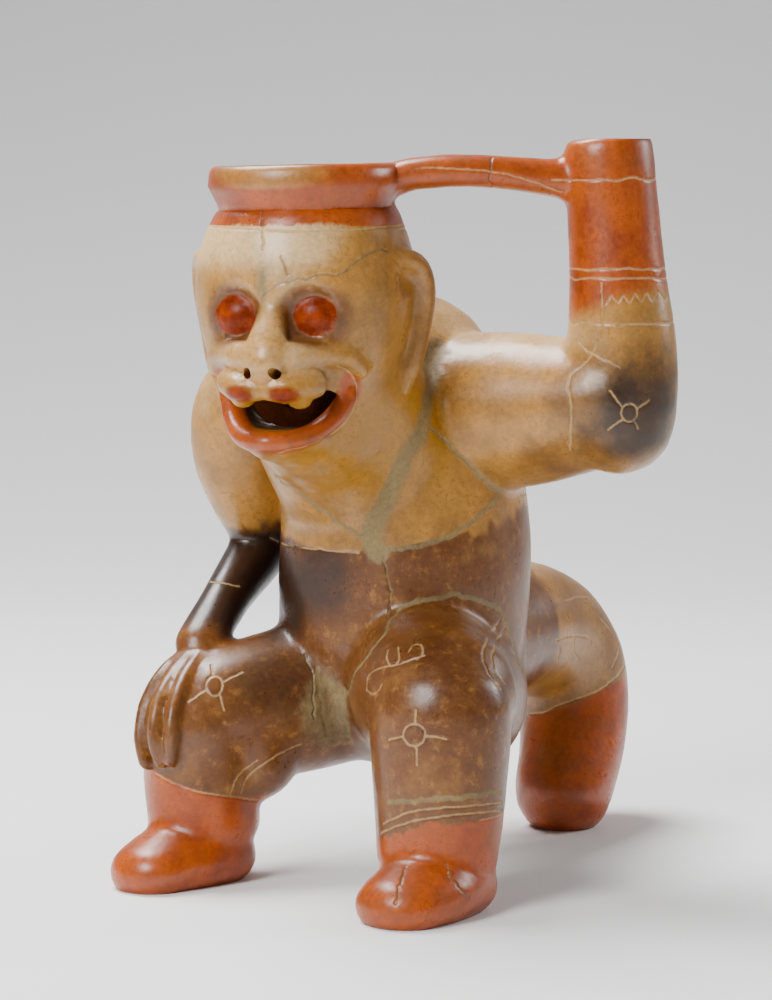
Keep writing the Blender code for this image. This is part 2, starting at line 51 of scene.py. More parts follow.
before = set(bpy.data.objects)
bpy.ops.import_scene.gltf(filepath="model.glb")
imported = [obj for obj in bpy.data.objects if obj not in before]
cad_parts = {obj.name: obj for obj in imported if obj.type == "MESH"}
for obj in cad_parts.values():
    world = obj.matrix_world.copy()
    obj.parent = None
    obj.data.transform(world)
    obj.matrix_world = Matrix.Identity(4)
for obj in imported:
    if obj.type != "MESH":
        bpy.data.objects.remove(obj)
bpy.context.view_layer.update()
CAD_LOW, CAD_HIGH = (Vector(corner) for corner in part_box("effigy_vessel"))
HEIGHT = CAD_HIGH.z
SHARE = HEIGHT / 100      # one hundredth of the height
PIECE = "burnished_vessel"

# The camera, in heights of the vessel, and its sight
CAMERA_SPOT = Vector((2.43232, -4.04806, 0.985)) * HEIGHT
CAMERA_TURN = math.radians(31.0)
CAMERA_TILT = math.radians(5.7106)
PICTURE_WIDTH, PICTURE_HEIGHT = 772, 1000
SIGHT_LENGTH = 3500.0     # focal length in the picture's own units

# How finely the clay is worked
SIDES = 44                # of each turned or drawn limb
UP = (0, 0, 1)            # reference of a limb that lies level
SPAN_STEPS = 6            # rings between two stations

# The pale sweep under and behind the vessel, in metres
SWEEP_REACH = 5.0         # to the front and to each side
SWEEP_START = 1.0         # behind the vessel, where it starts to curve up
SWEEP_BEND = 1.6
SWEEP_TOP = 4.0

# The head's own axis, and its turn towards the figure's left
HEAD_X, HEAD_Y = -5.0, -12.2
HEAD_TURN = math.radians(12.5)


def metres(name, description, default, low, high):
    """A length that a user may change."""
    return FloatProperty(name=name, description=description, default=default, min=low, max=high,
                         unit="LENGTH")


def number(name, description, default, low, high):
    """A whole number that a user may change."""
    return IntProperty(name=name, description=description, default=default, min=low, max=high)


def tint(name, description, default):
    """A colour that a user may change."""
    return FloatVectorProperty(name=name, description=description, default=default, min=0.0, max=1.0,
                               subtype="COLOR")


def watts(name, description, default):
    """A light's power that a user may change."""
    return FloatProperty(name=name, description=description, default=default, min=0.0, max=200.0,
                         unit="POWER")


class VesselSizes(bpy.types.PropertyGroup):
    """Real sizes of the clay"""
    wall: metres("Wall", "Fired wall of the body, the head and the limbs", 0.0065, 0.003, 0.015)
    crown_lip_radius: metres("Mouth lip radius", "Outside of the lip on the head", 0.0440, 0.03, 0.06)
    crown_lip_height: metres("Mouth lip height", "Upright band of the lip on the head", 0.0098, 0.004, 0.02)
    crown_neck_radius: metres("Mouth neck radius", "Narrowest place under the lip", 0.0400, 0.03, 0.06)
    crown_neck_height: metres("Mouth neck height", "Narrowest place up to the lip", 0.0084, 0.004, 0.02)
    crown_top: metres("Mouth rim height", "Height of the mouth's rim above the floor", 0.3285, 0.3, 0.34)
    crown_lean: FloatProperty(name="Mouth lean", description="Lean of the mouth to the figure's right",
                              default=math.radians(1.3), min=0.0, max=0.1, unit="ROTATION")
    spout_top_radius: metres("Spout radius", "Outside of the spout at its rim", 0.0200, 0.012, 0.03)
    rim_round: metres("Rim rounding", "Rounding of both rims", 0.0028, 0.0005, 0.004)
    bar_half_height: metres("Bar half height", "Half the height of the bar's section", 0.0078, 0.004, 0.015)
    bar_half_depth: metres("Bar half depth", "Half the depth of the bar's section", 0.0088, 0.004, 0.015)
    lip_wall: metres("Lip wall", "Thickness of the mouth's lip", 0.0062, 0.003, 0.01)
    spout_wall: metres("Spout wall", "Thickness of the spout at its rim", 0.0052, 0.003, 0.01)
    nostril_radius: metres("Nostril radius", "Radius of each nostril", 0.0025, 0.001, 0.005)
    nostril_depth: metres("Nostril depth", "Depth of each nostril", 0.014, 0.004, 0.02)
    grain: metres("Grain", "Grain at which the limbs are pressed together", 0.0014, 0.001, 0.004)
    fine_grain: metres("Fine grain", "Grain at which the features are pressed on", 0.0011, 0.0008, 0.003)
    triangles: number("Triangles", "Triangles left on the outside after thinning", 150000, 20000, 180000)
    core_triangles: number("Core triangles", "Triangles of the hollow inside", 9000, 1000, 20000)
    unevenness: metres("Unevenness", "How far the hand-smoothed skin wanders", 0.00035, 0.0, 0.002)


class VesselColours(bpy.types.PropertyGroup):
    """Colours of the slip and of the clay, some also used as painted highlight and painted shade"""
    tan: tint("Tan", "Bare burnished clay", (0.40, 0.185, 0.034))
    ochre: tint("Ochre", "Yellowish clay under the jaw and on the neck", (0.38, 0.165, 0.008))
    # Cream is also painted as highlight on the head's top and right side, the hump, the tops of the raised arm
    # and the tail, and the knees.
    cream: tint("Cream", "Pale slip of the head and the upper arm", (0.62, 0.40, 0.18))
    # Brown is also painted as shade in the eye sockets, in the ear hollows and under the raised arm.
    brown: tint("Brown", "Brown slip of the lower body", (0.135, 0.045, 0.008))
    # Smoke is also painted as shade inside the mouth, round the eyes, on the belly and behind the lowered arm.
    smoke: tint("Smoke", "Black clouds left by the firing", (0.018, 0.008, 0.005))
    red: tint("Red", "Red-orange slip of rims, bar, feet and tail", (0.37, 0.064, 0.002))
    deep_red: tint("Deep red", "Slip of the eyes and lips", (0.20, 0.020, 0.0002))
    filler: tint("Filler", "Grey-green filler in the mended cracks", (0.155, 0.115, 0.045))
    scratch: tint("Scratch", "Pale clay in the engraved lines", (0.50, 0.31, 0.13))


class VesselStage(bpy.types.PropertyGroup):
    """The floor and the lights"""
    floor: tint("Floor", "Colour of the floor", (0.88, 0.88, 0.88))
    key_power: watts("Key light", "Power of the soft light overhead", 46.0)
    front_power: watts("Front light", "Power of the soft light beside the camera", 36.0)
    side_power: watts("Side light", "Power of the soft light on the spout's side", 12.0)
    surround: FloatProperty(name="Surround", description="Brightness of the plain surroundings",
                            default=0.22, min=0.0, max=2.0)


def head_point(side, forward, up):
    """Hundredths in the head's frame (to its left, forwards, above the floor) as figure hundredths."""
    across = Vector((math.cos(HEAD_TURN), math.sin(HEAD_TURN)))
    ahead = Vector((math.sin(HEAD_TURN), -math.cos(HEAD_TURN)))
    spot = Vector((HEAD_X, HEAD_Y)) + side * across + forward * ahead
    return spot.x, spot.y, up


def head_station(side, forward, up, half_width, half_depth):
    """A station of the head's frame as one of the figure's."""
    return (*head_point(side, forward, up), half_width, half_depth)


def sizes():
    """The clay's sizes, as set in the sidebar."""
    return bpy.context.scene.vessel_sizes


# Stations of the figure, in hundredths of the height
TORSO = [
    (-2.2, 5.0, 20.6, 12.0, 12.0), (-2.2, 7.2, 27.0, 16.4, 15.8), (-2.3, 8.6, 36.0, 17.4, 17.0),
    (-2.4, 9.2, 45.0, 17.4, 17.2), (-2.7, 9.6, 54.0, 16.4, 16.6), (-3.1, 10.6, 61.0, 14.6, 15.0),
    (-3.4, 11.6, 66.0, 12.8, 13.2),
]
NECK = [
    (-3.6, 5.0, 50.0, 13.5, 11.5), (-4.4, -1.5, 60.0, 13.2, 12.0), (-5.0, -8.5, 69.0, 12.6, 12.0),
]
HEAD = [
    (-3.6, -10.6, 62.0, 9.6, 9.6), (-4.0, -10.8, 67.0, 11.4, 11.6), (-4.6, -11.8, 73.0, 13.7, 13.6),
    (-5.0, -12.2, 79.0, 14.8, 14.4), (-5.0, -12.2, 84.0, 14.5, 14.2), (-5.0, -12.2, 88.4, 13.2, 13.1),
]
RAISED_ARM = [
    (3.0, 10.8, 62.5, 11.0, 10.5), (10.0, 10.4, 63.0, 10.9, 10.0), (17.0, 10.0, 63.6, 10.4, 9.2),
    (24.0, 10.0, 64.4, 9.2, 8.8), (29.0, 10.0, 65.6, 8.4, 8.5),
]
ELBOW = [
    (30.2, 10.0, 62.8, 7.6, 7.3), (30.6, 10.0, 70.0, 7.6, 7.2), (30.2, 10.0, 78.0, 6.8, 6.8),
]
LOWERED_ARM = [
    (-17.0, 4.5, 68.5, 6.0, 7.0), (-22.2, 1.0, 64.0, 7.4, 7.2), (-24.4, 1.4, 57.5, 7.0, 7.0),
    (-24.6, 4.0, 50.5, 5.6, 5.8), (-25.0, 8.5, 44.5, 4.3, 4.5),
]
LOWERED_FOREARM = [
    (-25.4, 10.5, 43.6, 4.2, 4.4), (-24.8, 4.0, 40.6, 3.8, 4.2), (-23.8, -4.0, 36.2, 3.3, 3.6),
    (-22.6, -12.0, 31.4, 3.5, 3.0),
]
RIGHT_THIGH = [
    (-8.0, 5.0, 25.0, 9.5, 10.7), (-14.0, -4.0, 23.0, 9.4, 10.2), (-19.0, -12.4, 21.8, 8.4, 9.2),
]
RIGHT_SHIN = [
    (-20.6, -15.0, 20.0, 7.8, 7.4), (-20.2, -15.2, 12.0, 7.9, 7.5), (-19.4, -15.2, 6.0, 7.4, 7.6),
]
RIGHT_FOOT = [
    (-19.0, -14.6, 3.2, 6.9, 4.8), (-20.8, -20.4, 3.2, 6.9, 5.0), (-21.8, -25.2, 2.4, 5.9, 4.2),
]
LEFT_THIGH = [
    (0.5, 17.0, 24.5, 10.0, 10.5), (5.0, 7.0, 24.0, 11.6, 11.8), (9.0, -4.0, 27.0, 10.8, 11.0),
    (15.6, -11.6, 27.0, 10.2, 9.8),
]
LEFT_SHIN = [
    (16.8, -14.4, 26.0, 9.8, 8.8), (17.4, -15.4, 15.0, 8.9, 8.2), (17.4, -16.0, 6.0, 7.9, 7.6),
]
LEFT_FOOT = [
    (18.4, -15.4, 3.2, 7.2, 4.8), (18.4, -21.2, 3.2, 7.3, 5.0), (17.9, -26.0, 2.4, 6.6, 4.2),
]
TAIL = [
    (-2.6, 8.0, 28.6, 12.5, 13.5), (-2.0, 22.0, 30.0, 11.0, 13.0), (-0.8, 34.0, 30.2, 9.8, 11.4),
    (0.6, 43.4, 27.6, 9.4, 9.8), (2.2, 48.4, 21.6, 8.8, 8.8), (3.8, 47.4, 13.6, 8.0, 8.0),
    (5.2, 41.6, 5.0, 7.3, 7.1),
]

# Features of the head, in its own frame: (to its left, forwards, up, half width, half depth), in hundredths
JAW = [
    (0.0, 1.0, 62.4, 7.4, 5.4), (0.0, 8.0, 61.6, 6.0, 4.2), (0.0, 11.8, 61.0, 4.2, 2.9),
]
SNOUT = [
    (0.0, 3.0, 66.6, 8.6, 6.6), (0.0, 9.0, 67.0, 7.6, 6.3), (0.0, 13.0, 67.4, 6.0, 5.7),
    (0.0, 15.4, 67.8, 4.5, 4.4),
]
NOSE = [
    (0.0, 11.6, 80.0, 2.0, 1.6), (0.0, 13.4, 76.6, 2.2, 1.9), (0.0, 15.2, 73.4, 2.8, 2.3),
    (0.0, 16.0, 71.5, 3.1, 2.4),
]
CHEEK = [
    (0.0, 15.2, 72.0, 2.7, 2.0), (3.6, 14.2, 72.1, 2.0, 1.9), (6.4, 11.6, 72.2, 1.7, 1.7),
    (8.8, 9.2, 71.8, 1.6, 1.6), (10.1, 7.4, 70.2, 1.1, 1.3),
]
SNOUT_TOP = [
    (0.0, 4.0, 70.4, 9.6, 2.8), (0.0, 9.4, 70.4, 7.8, 2.7), (0.0, 13.0, 70.4, 6.2, 2.5),
]
LIP_PAD = [
    (0.9, 16.1, 67.8, 1.6, 1.5), (3.1, 15.4, 68.0, 2.3, 2.0), (5.6, 13.1, 68.5, 2.0, 1.9),
]
LOWER_LIP = [
    (0.0, 14.5, 60.9, 1.8, 1.4), (2.8, 13.3, 61.1, 1.8, 1.4), (5.0, 11.0, 62.0, 1.8, 1.4),
    (6.9, 8.6, 64.0, 1.7, 1.3), (8.2, 7.0, 66.8, 1.6, 1.2), (8.5, 7.0, 69.2, 1.3, 1.1),
]
EAR = [
    (12.4, 4.8, 83.8, 0.9, 0.9), (14.0, 1.6, 84.4, 1.3, 1.3), (15.1, -1.4, 83.2, 1.6, 1.5),
    (15.5, -2.8, 80.0, 1.6, 1.6), (15.0, -3.0, 75.5, 1.4, 1.5), (13.8, -2.4, 70.0, 1.3, 1.4),
    (11.6, -1.4, 65.0, 1.1, 1.1),
]
EYE = (5.1, 10.7, 77.1)
EYE_RADII = (3.2, 2.3, 2.8)
SOCKET = (5.1, 13.7, 77.6)
SOCKET_RADII = (4.5, 3.6, 4.2)
SOCKET_DEPTH = 2.1
EAR_HOLLOW = (14.2, 1.4, 81.4)
EAR_HOLLOW_RADII = (2.4, 2.4, 2.4)
EAR_HOLLOW_DEPTH = 0.8
TOOTH = (3.9, 13.4, 66.3)
TOOTH_RADII = (1.6, 1.3, 1.1)
# Half the outline of the face's mouth: (to the side, up)
MOUTH = [(0.0, 62.3), (2.8, 62.4), (5.0, 63.1), (6.8, 64.6), (7.6, 66.6), (7.0, 67.6), (5.0, 67.2), (0.0, 67.2)]
MOUTH_BACK = 6.0          # how far forward of the head's axis the opening starts
NOSTRIL = (1.9, 17.4, 70.0)

# Knee, calf and hand of the figure's right side, in hundredths of the height
KNEE = (-21.0, -15.8, 20.9)
KNEE_RADII = (7.9, 7.8, 7.6)
CALF = (-15.5, -10.0, 17.0)
CALF_RADII = (7.0, 7.0, 7.0)
FINGERS = [
    [(-21.0, -12.5, 30.6, 1.4, 1.4), (-20.2, -18.4, 28.0, 1.3, 1.2), (-19.3, -22.6, 24.2, 1.3, 1.1),
     (-19.0, -23.8, 20.2, 1.3, 1.0), (-19.5, -23.2, 17.2, 1.1, 0.8)],
    [(-22.2, -12.5, 30.6, 1.4, 1.4), (-22.2, -18.2, 28.0, 1.3, 1.2), (-21.9, -22.4, 24.4, 1.4, 1.1),
     (-21.6, -23.8, 20.2, 1.4, 1.0), (-21.2, -23.4, 17.0, 1.1, 0.8)],
    [(-23.2, -12.5, 30.2, 1.5, 1.4), (-24.3, -17.4, 27.6, 1.6, 1.3), (-25.0, -20.4, 24.0, 1.8, 1.2),
     (-25.0, -21.8, 20.0, 1.8, 1.1), (-24.0, -22.6, 16.6, 1.5, 0.9)],
]

# How the clay is worked, with grains in metres
BODY_ROUNDS = 35          # smoothing of the pressed limbs
FEATURE_ROUNDS = 4        # smoothing of the features
CORE_GRAIN = 0.0026       # grain and smoothing of the hollow inside
CORE_ROUNDS = 8
LEAST_SHARE = 0.3         # of its outside that the hollow of a thin limb keeps
DOME_ANGLES = (25, 48, 68, 82)          # where the rings of a round cap stand
BALL_SIDES, BALL_RINGS = 24, 16
NOSTRIL_SIDES = 10
KEEP_FACTOR = 0.0012      # how strongly weighted places keep their facets
FACE_WEIGHT = 0.95        # weight of the face and the hand: nearly all their facets stay
LINE_REACH = 0.0017       # skin kept fine on each side of a line, in metres
LINE_JUMP = 0.006         # a longer gap than this is a jump to another limb
LINE_STEP = 0.0004        # between two places of a line, in metres
PICTURE_STEP = 2.0        # between two sight lines of a line, in the picture
FAR_STEP = 0.25           # the same on a side the camera doesn't see, in hundredths
BROAD_DRIFT, FINE_DRIFT = 0.11, 0.45    # how quickly a line's wander turns, in the picture
RAGGED_GRAIN, RAGGED_SHARE = 190, 0.35  # uneven depth of a filled join
SKIN_GRAIN = 38           # waves of the hand-smoothed skin to a metre
LEAST_VERTICES = 1000     # fewer than this and the vessel is lost
SHARP_ANGLE = math.radians(50)
BURNISHED_GLOSS = 0.5     # specular level of the rubbed skin
UNBURNISHED_GLOSS = 0.14  # and of the eyes, which the rubbing pebble didn't reach
UNBURNISHED_FROM = 0.35   # strength of the deep red slip from which the skin isn't rubbed

# Kinds of line: half width and depth, in metres
LINE_KINDS = {
    "engraved": (0.00045, 0.00040),
    "crack": (0.00045, 0.00050),
    "filled": (0.0011, 0.00025),
    "joint": (0.0036, 0.00040),
}

# Lines on the side that the camera sees: kind, wander, and courses of (across, down) in the picture
SEEN_LINES = [
    ("crack", 2.2, [
        [(262, 300), (266, 294), (277, 286), (292, 282), (317, 276), (329, 275), (342, 273), (361, 259),
         (373, 252), (390, 250)],
        [(281, 257), (285, 266), (289, 275)],
        [(262, 170), (265, 190), (262, 224), (262, 250)],
        [(492, 158), (490, 175), (493, 192)],
        [(305, 654), (312, 676), (314, 719)],
        [(382, 555), (390, 590), (388, 620)],
        [(406, 868), (399, 888), (396, 905)],
        [(447, 864), (452, 880), (470, 897)],
    ]),
    ("joint", 3.0, [
        [(437, 345), (428, 385), (425, 420), (413, 445), (400, 470), (384, 505), (370, 540), (380, 555)],
    ]),
    ("filled", 2.5, [
        [(275, 475), (300, 495), (330, 515), (365, 540)],
        [(375, 552), (400, 548), (420, 545), (445, 538), (460, 530), (478, 516), (490, 505), (500, 492)],
        [(425, 425), (445, 440), (462, 458), (480, 475), (500, 493)],
        [(345, 700), (352, 680), (362, 662), (380, 640), (400, 610), (428, 600), (460, 595), (500, 610),
         (512, 640), (522, 672)],
        [(318, 668), (320, 700), (326, 735)],
        [(345, 690), (346, 715), (352, 745)],
        [(388, 803), (430, 800), (470, 797), (500, 792)],
    ]),
    ("engraved", 0.9, [
        [(270, 538), (290, 546), (325, 550), (360, 552)],
        [(413, 168), (440, 168), (492, 172), (530, 181), (562, 192)],
        [(601, 283), (602, 315), (598, 340), (588, 360), (570, 377), (571, 410), (570, 450)],
        [(577, 340), (590, 352), (620, 368)],
        [(606, 303), (611, 296), (617, 303), (623, 296), (629, 303), (635, 295), (641, 302), (647, 294),
         (653, 301), (659, 293), (665, 300), (669, 292)],
        [(621, 406), (609, 390)],
        [(637, 409), (650, 400)],
        [(622, 420), (607, 430)],
        [(634, 421), (638, 430)],
        [(213, 676), (211, 664)],
        [(219, 695), (224, 711)],
        [(223, 681), (243, 671)],
        [(205, 690), (187, 702)],
        [(241, 794), (246, 780), (255, 770), (279, 754), (302, 744)],
        [(230, 796), (238, 776), (258, 760)],
        [(155, 774), (175, 784), (200, 792), (230, 797), (258, 800)],
        [(415, 724), (416, 709)],
        [(416, 748), (417, 766)],
        [(403, 737), (388, 740)],
        [(426, 736), (447, 739)],
        [(388, 650), (387, 660), (393, 666), (399, 660), (398, 647)],
        [(408, 652), (413, 645), (421, 645), (422, 654), (416, 660)],
        [(366, 690), (368, 676), (380, 668), (400, 664), (425, 655)],
        [(366, 690), (374, 694), (382, 684)],
        [(500, 620), (489, 636), (483, 655), (489, 675), (500, 690)],
        [(506, 628), (497, 641), (492, 656), (496, 672), (506, 684)],
        [(380, 834), (400, 825), (430, 818), (465, 814), (502, 811)],
        [(383, 824), (410, 812), (440, 808), (470, 806), (502, 803)],
        [(530, 714), (545, 712), (560, 705), (580, 698), (600, 690), (616, 677), (628, 660)],
        [(556, 640), (570, 636), (588, 637), (592, 645)],
        [(558, 660), (560, 648), (556, 640)],
        [(575, 637), (574, 650), (579, 660)],
        [(600, 618), (612, 632), (618, 650), (612, 668)],
        [(566, 600), (585, 596), (602, 606)],
        [(209, 581), (222, 583), (240, 586)],
        [(338, 366), (351, 374), (357, 390), (353, 411), (337, 431), (308, 446), (277, 453)],
        [(205, 226), (240, 229), (300, 231), (360, 229), (405, 225)],
    ]),
]

# Engraved circles the camera sees: across, down, radius and squeeze
SUNS = [
    (629, 413, 9.0, 0.9),
    (214, 686, 9.6, 0.85),
    (414, 735, 11.0, 1.0),
]
SUN_WANDER = 0.8

# Lines round a limb at one height: axis, height and reach in hundredths, then the first and last angle
RINGS = [
    ("engraved", (28.9, 9.7, 94.6, 9.0, 0, 360)),
    ("engraved", (29.8, 9.9, 82.9, 10.0, 0, 360)),
    ("engraved", (29.9, 9.9, 81.6, 10.0, 0, 360)),
    ("engraved", (30.1, 10.0, 75.8, 10.5, 0, 360)),
    ("engraved", (-5.0, -12.2, 88.3, 17.0, 10, 190)),
    ("engraved", (-2.5, 9.5, 51.5, 19.5, 15, 165)),
    ("engraved", (-20.2, -15.2, 12.6, 10.0, 20, 200)),
    ("engraved", (17.4, -15.6, 12.8, 11.0, -20, 200)),
]

# Lines on the sides the camera doesn't see: kind, side faced in degrees, and (across, up) in hundredths
FAR_LINES = [
    ("engraved", 200, [(-14.0, 36.0), (-8.0, 39.5), (-1.0, 39.0), (5.0, 35.0)]),
    ("engraved", 200, [(-14.0, 33.6), (-8.0, 37.0), (-1.0, 36.5), (4.0, 32.8)]),
    ("filled", 190, [(-6.0, 62.0), (-2.0, 57.0), (3.5, 54.0), (8.0, 48.0)]),
    ("crack", 165, [(6.0, 24.0), (8.0, 20.0), (7.0, 15.0), (9.5, 11.0)]),
    ("engraved", 265, [(-40.0, 24.0), (-36.0, 21.0), (-31.0, 19.0), (-27.0, 16.5)]),
    ("crack", 250, [(12.0, 84.0), (9.0, 80.5), (8.0, 76.0), (4.5, 73.0)]),
]


# Stains, painted shade and painted highlight as egg-shaped patches: strength, centre, radii and softness of the
# edge, in hundredths
SMOKE_PATCHES = [
    (1.0, (36.5, 5.0, 64.0), (8.5, 9, 7.5), 0.8),
    (0.55, (31.0, 2.5, 60.5), (9, 7, 6), 0.8),
    (0.65, (-12.0, -10.0, 27.0), (7, 8, 6), 0.7),
    (0.5, (-26.0, -15.0, 22.0), (4, 9, 8), 0.6),
    (0.7, (14.0, 26.0, 52.0), (9, 9, 10), 0.7),
    (0.6, (-10.0, 40.0, 24.0), (7, 8, 8), 0.7),
]
# The first patch darkens the clay under the raised arm: painted shade. The other two are darker brown on the
# head's left side and on the upper body.
BROWN_AND_SHADE_PATCHES = [
    (0.4, (27, 3, 57), (12, 8, 5), 0.6),
    (0.45, (11.0, -6.5, 77.0), (3.0, 5.0, 10.0), 0.6),
    (0.6, (-8.0, 14.0, 58.0), (20, 9, 12), 0.6),
]
# Paler patches on the hump and the top of the raised arm, the top of the tail, the knees and the right
# shoulder: painted highlight, partly pale slip.
CREAM_AND_HIGHLIGHT_PATCHES = [
    (0.7, (14.0, 9.0, 75.5), (17, 13, 4.5), 0.6),
    (0.8, (2.0, 30.0, 44.0), (12, 15, 6), 0.6),
    (0.35, (17.0, -24.0, 30.0), (5, 4, 7), 0.7),
    (0.4, (-25.5, -1.0, 66.0), (5, 8, 9), 0.6),
    (0.5, (-22.5, -23.5, 24.5), (4, 3, 5), 0.6),
]


def between(a, b, c, d, t):
    """The smooth curve from b to c, with its neighbours a and d, at share t."""
    return 0.5 * (2 * b + (c - a) * t + (2 * a - 5 * b + 4 * c - d) * t**2
                  + (3 * b - a - 3 * c + d) * t**3)


def smoothed(stations):
    """The stations with rings added between them along a smooth curve."""
    rows = [stations[0], *stations, stations[-1]]
    rings = []
    for i in range(1, len(rows) - 2):
        for step in range(SPAN_STEPS):
            t = step / SPAN_STEPS
            rings.append([between(*(rows[i + k][n] for k in (-1, 0, 1, 2)), t) for n in range(5)])
    rings.append(list(stations[-1]))
    return rings


def ring_matrix(centre, tangent, reference, half_side, half_depth):
    """Places a unit circle: its X goes across, its Y in depth and its Z along the tangent."""
    side = reference.cross(tangent).normalized()
    depth = tangent.cross(side).normalized()
    turned = Matrix((side, depth, tangent)).transposed().to_4x4()
    sized = Matrix.Diagonal((half_side, half_depth, (half_side + half_depth) / 2, 1))
    return Matrix.Translation(centre) @ turned @ sized


def dome_rings(ring, tangent, bulge):
    """Rings that close a limb's end with a round cap."""
    matrices = []
    for angle in DOME_ANGLES:
        rise, width = math.sin(math.radians(angle)), math.cos(math.radians(angle))
        reach = Matrix.Translation(tangent * bulge * rise)
        matrices.append(reach @ ring @ Matrix.Diagonal((width, width, width, 1)))
    return matrices


def limb(shape, stations, reference=(0, 1, 0), thinner=0.0, domes=(1.0, 1.0)):
    """Adds a closed limb to the bmesh, drawn through the stations, its skin moved in by thinner metres."""
    rings = smoothed(stations)
    centres = [Vector(ring[:3]) * SHARE for ring in rings]
    reference = Vector(reference)
    halves = [[max(half * SHARE - thinner, LEAST_SHARE * half * SHARE) for half in ring[3:]]
              for ring in rings]
    matrices = []
    for i, centre in enumerate(centres):
        tangent = (centres[min(i + 1, len(centres) - 1)] - centres[max(i - 1, 0)]).normalized()
        matrices.append(ring_matrix(centre, tangent, reference, *halves[i]))
    start = (centres[0] - centres[1]).normalized()
    end = (centres[-1] - centres[-2]).normalized()
    if domes[0]:
        matrices = dome_rings(matrices[0], start, domes[0] * sum(halves[0]) / 2)[::-1] + matrices
    if domes[1]:
        matrices += dome_rings(matrices[-1], end, domes[1] * sum(halves[-1]) / 2)
    skin(shape, matrices)


def skin(shape, matrices):
    """Draws one circle through the placed rings and closes both ends."""
    ring = bmesh.ops.create_circle(shape, segments=SIDES, radius=1, matrix=matrices[0])["verts"]
    loop = list(dict.fromkeys(edge for vert in ring for edge in vert.link_edges))
    shape.faces.new(ring)
    for before, after in zip(matrices, matrices[1:]):
        made = bmesh.ops.extrude_edge_only(shape, edges=loop)["geom"]
        ring = [item for item in made if isinstance(item, bmesh.types.BMVert)]
        loop = [item for item in made if isinstance(item, bmesh.types.BMEdge)]
        loop = [edge for edge in loop if all(vert in ring for vert in edge.verts)]
        bmesh.ops.transform(shape, matrix=after @ before.inverted(), verts=ring)
    bmesh.ops.contextual_create(shape, geom=loop)


def ball(shape, centre, radii, turn=0.0):
    """Adds an egg shape: its centre and radii are in hundredths of the height."""
    sized = Matrix.Diagonal((*(radius * SHARE for radius in radii), 1))
    placed = Matrix.Translation(Vector(centre) * SHARE) @ Matrix.Rotation(turn, 4, "Z") @ sized
    bmesh.ops.create_uvsphere(shape, u_segments=BALL_SIDES, v_segments=BALL_RINGS, radius=1, matrix=placed)


def crown_heights():
    """Heights of the lip's lower edge and of the narrowest place, in metres."""
    edge = sizes().crown_top - sizes().crown_lip_height
    return edge, edge - sizes().crown_neck_height


def collar_profile():
    """The shoulder that closes the head up to the narrow place, as (height, radius) in metres."""
    clay = sizes()
    neck = crown_heights()[1]
    return [
        (84.0 * SHARE, 12.0 * SHARE),
        (88.0 * SHARE, 13.0 * SHARE),
        (neck - 0.25 * clay.crown_neck_height, clay.crown_neck_radius + 0.0016),
        (neck, clay.crown_neck_radius - 0.003),
    ]


def crown_profile():
    """The neck and the lip above the collar, as (height, radius) in metres."""
    clay = sizes()
    edge, neck = crown_heights()
    rim_radius = clay.crown_lip_radius - 0.0008
    return [
        (neck - 0.004, clay.crown_neck_radius - 0.004),
        (neck - 0.0015, clay.crown_neck_radius - 0.0006),
        (neck + 0.15 * clay.crown_neck_height, clay.crown_neck_radius),
        (edge - 0.2 * clay.crown_neck_height, clay.crown_lip_radius - 0.0012),
        (edge + 0.1 * clay.crown_lip_height, clay.crown_lip_radius),
        (clay.crown_top - clay.rim_round, rim_radius),
        (clay.crown_top - 0.3 * clay.rim_round, rim_radius - 0.4 * clay.rim_round),
        (clay.crown_top, rim_radius - clay.rim_round),
    ]


def crown_bore():
    """The opening from the rim down into the head."""
    clay = sizes()
    edge, neck = crown_heights()
    mouth = clay.crown_lip_radius - clay.lip_wall
    return [
        (86.0 * SHARE, clay.crown_neck_radius - clay.lip_wall - 0.001),
        (neck, clay.crown_neck_radius - clay.lip_wall),
        (edge, mouth),
        (clay.crown_top - clay.rim_round, mouth),
        (clay.crown_top + 0.002, mouth + clay.rim_round + 0.001),
    ]


def spout_bore(shape):
    """The opening from the spout's rim down to the hollow of the arm, flared above the rim."""
    radius = (sizes().spout_top_radius - sizes().spout_wall) / SHARE
    rows = [(*spout_axis(z), z, radius, radius) for z in (86, 93, 99.2)]
    rows.append((*spout_axis(101.5), 101.5, radius * 1.4, radius * 1.4))
    limb(shape, rows, domes=(0, 0))


def core_limbs(shape):
    """The hollow inside, one wall thinner than the clay, up to the two necks."""
    body_limbs(shape, sizes().wall)
    limb(shape, LOWERED_ARM[:3], thinner=sizes().wall)
    head_limb(shape, SNOUT[:2], reference=UP, thinner=sizes().wall, domes=(1, 0.2))
    collar = [(height - 0.003, radius - sizes().wall) for height, radius in collar_profile()[:3]]
    turned(shape, collar, HEAD_X * SHARE, HEAD_Y * SHARE)


def turned(shape, profile, axis_x, axis_y):
    """Adds a closed turned form, from (height, radius) rings in metres."""
    neck = crown_heights()[1]
    lean = Matrix.Rotation(-sizes().crown_lean, 4, Vector((-0.5, 0.86, 0)))
    matrices = []
    for height, radius in profile:
        placed = Matrix.Translation((axis_x, axis_y, neck)) @ lean
        placed = placed @ Matrix.Translation((0, 0, height - neck))
        matrices.append(placed @ Matrix.Diagonal((radius, radius, radius, 1)))
    skin(shape, matrices)


def spout_axis(z):
    """The spout's axis leans a little towards the head as it rises, in hundredths."""
    return 30.2 - 0.075 * (z - 78), 10.0 - 0.02 * (z - 78)


def spout_stations():
    """The forearm that is the spout, up to its rim."""
    top = 100.0
    radius, round_off = sizes().spout_top_radius / SHARE, sizes().rim_round / SHARE
    return [
        (*spout_axis(70), 70, 7.2, 7.2),
        (*spout_axis(80), 80, 6.6, 6.6),
        (*spout_axis(90), 90, 6.1, 6.1),
        (*spout_axis(top - 1.2), top - 1.2, radius, radius),
        (*spout_axis(top + 0.2), top + 0.2, radius - 0.6 * round_off, radius - 0.6 * round_off),
    ]


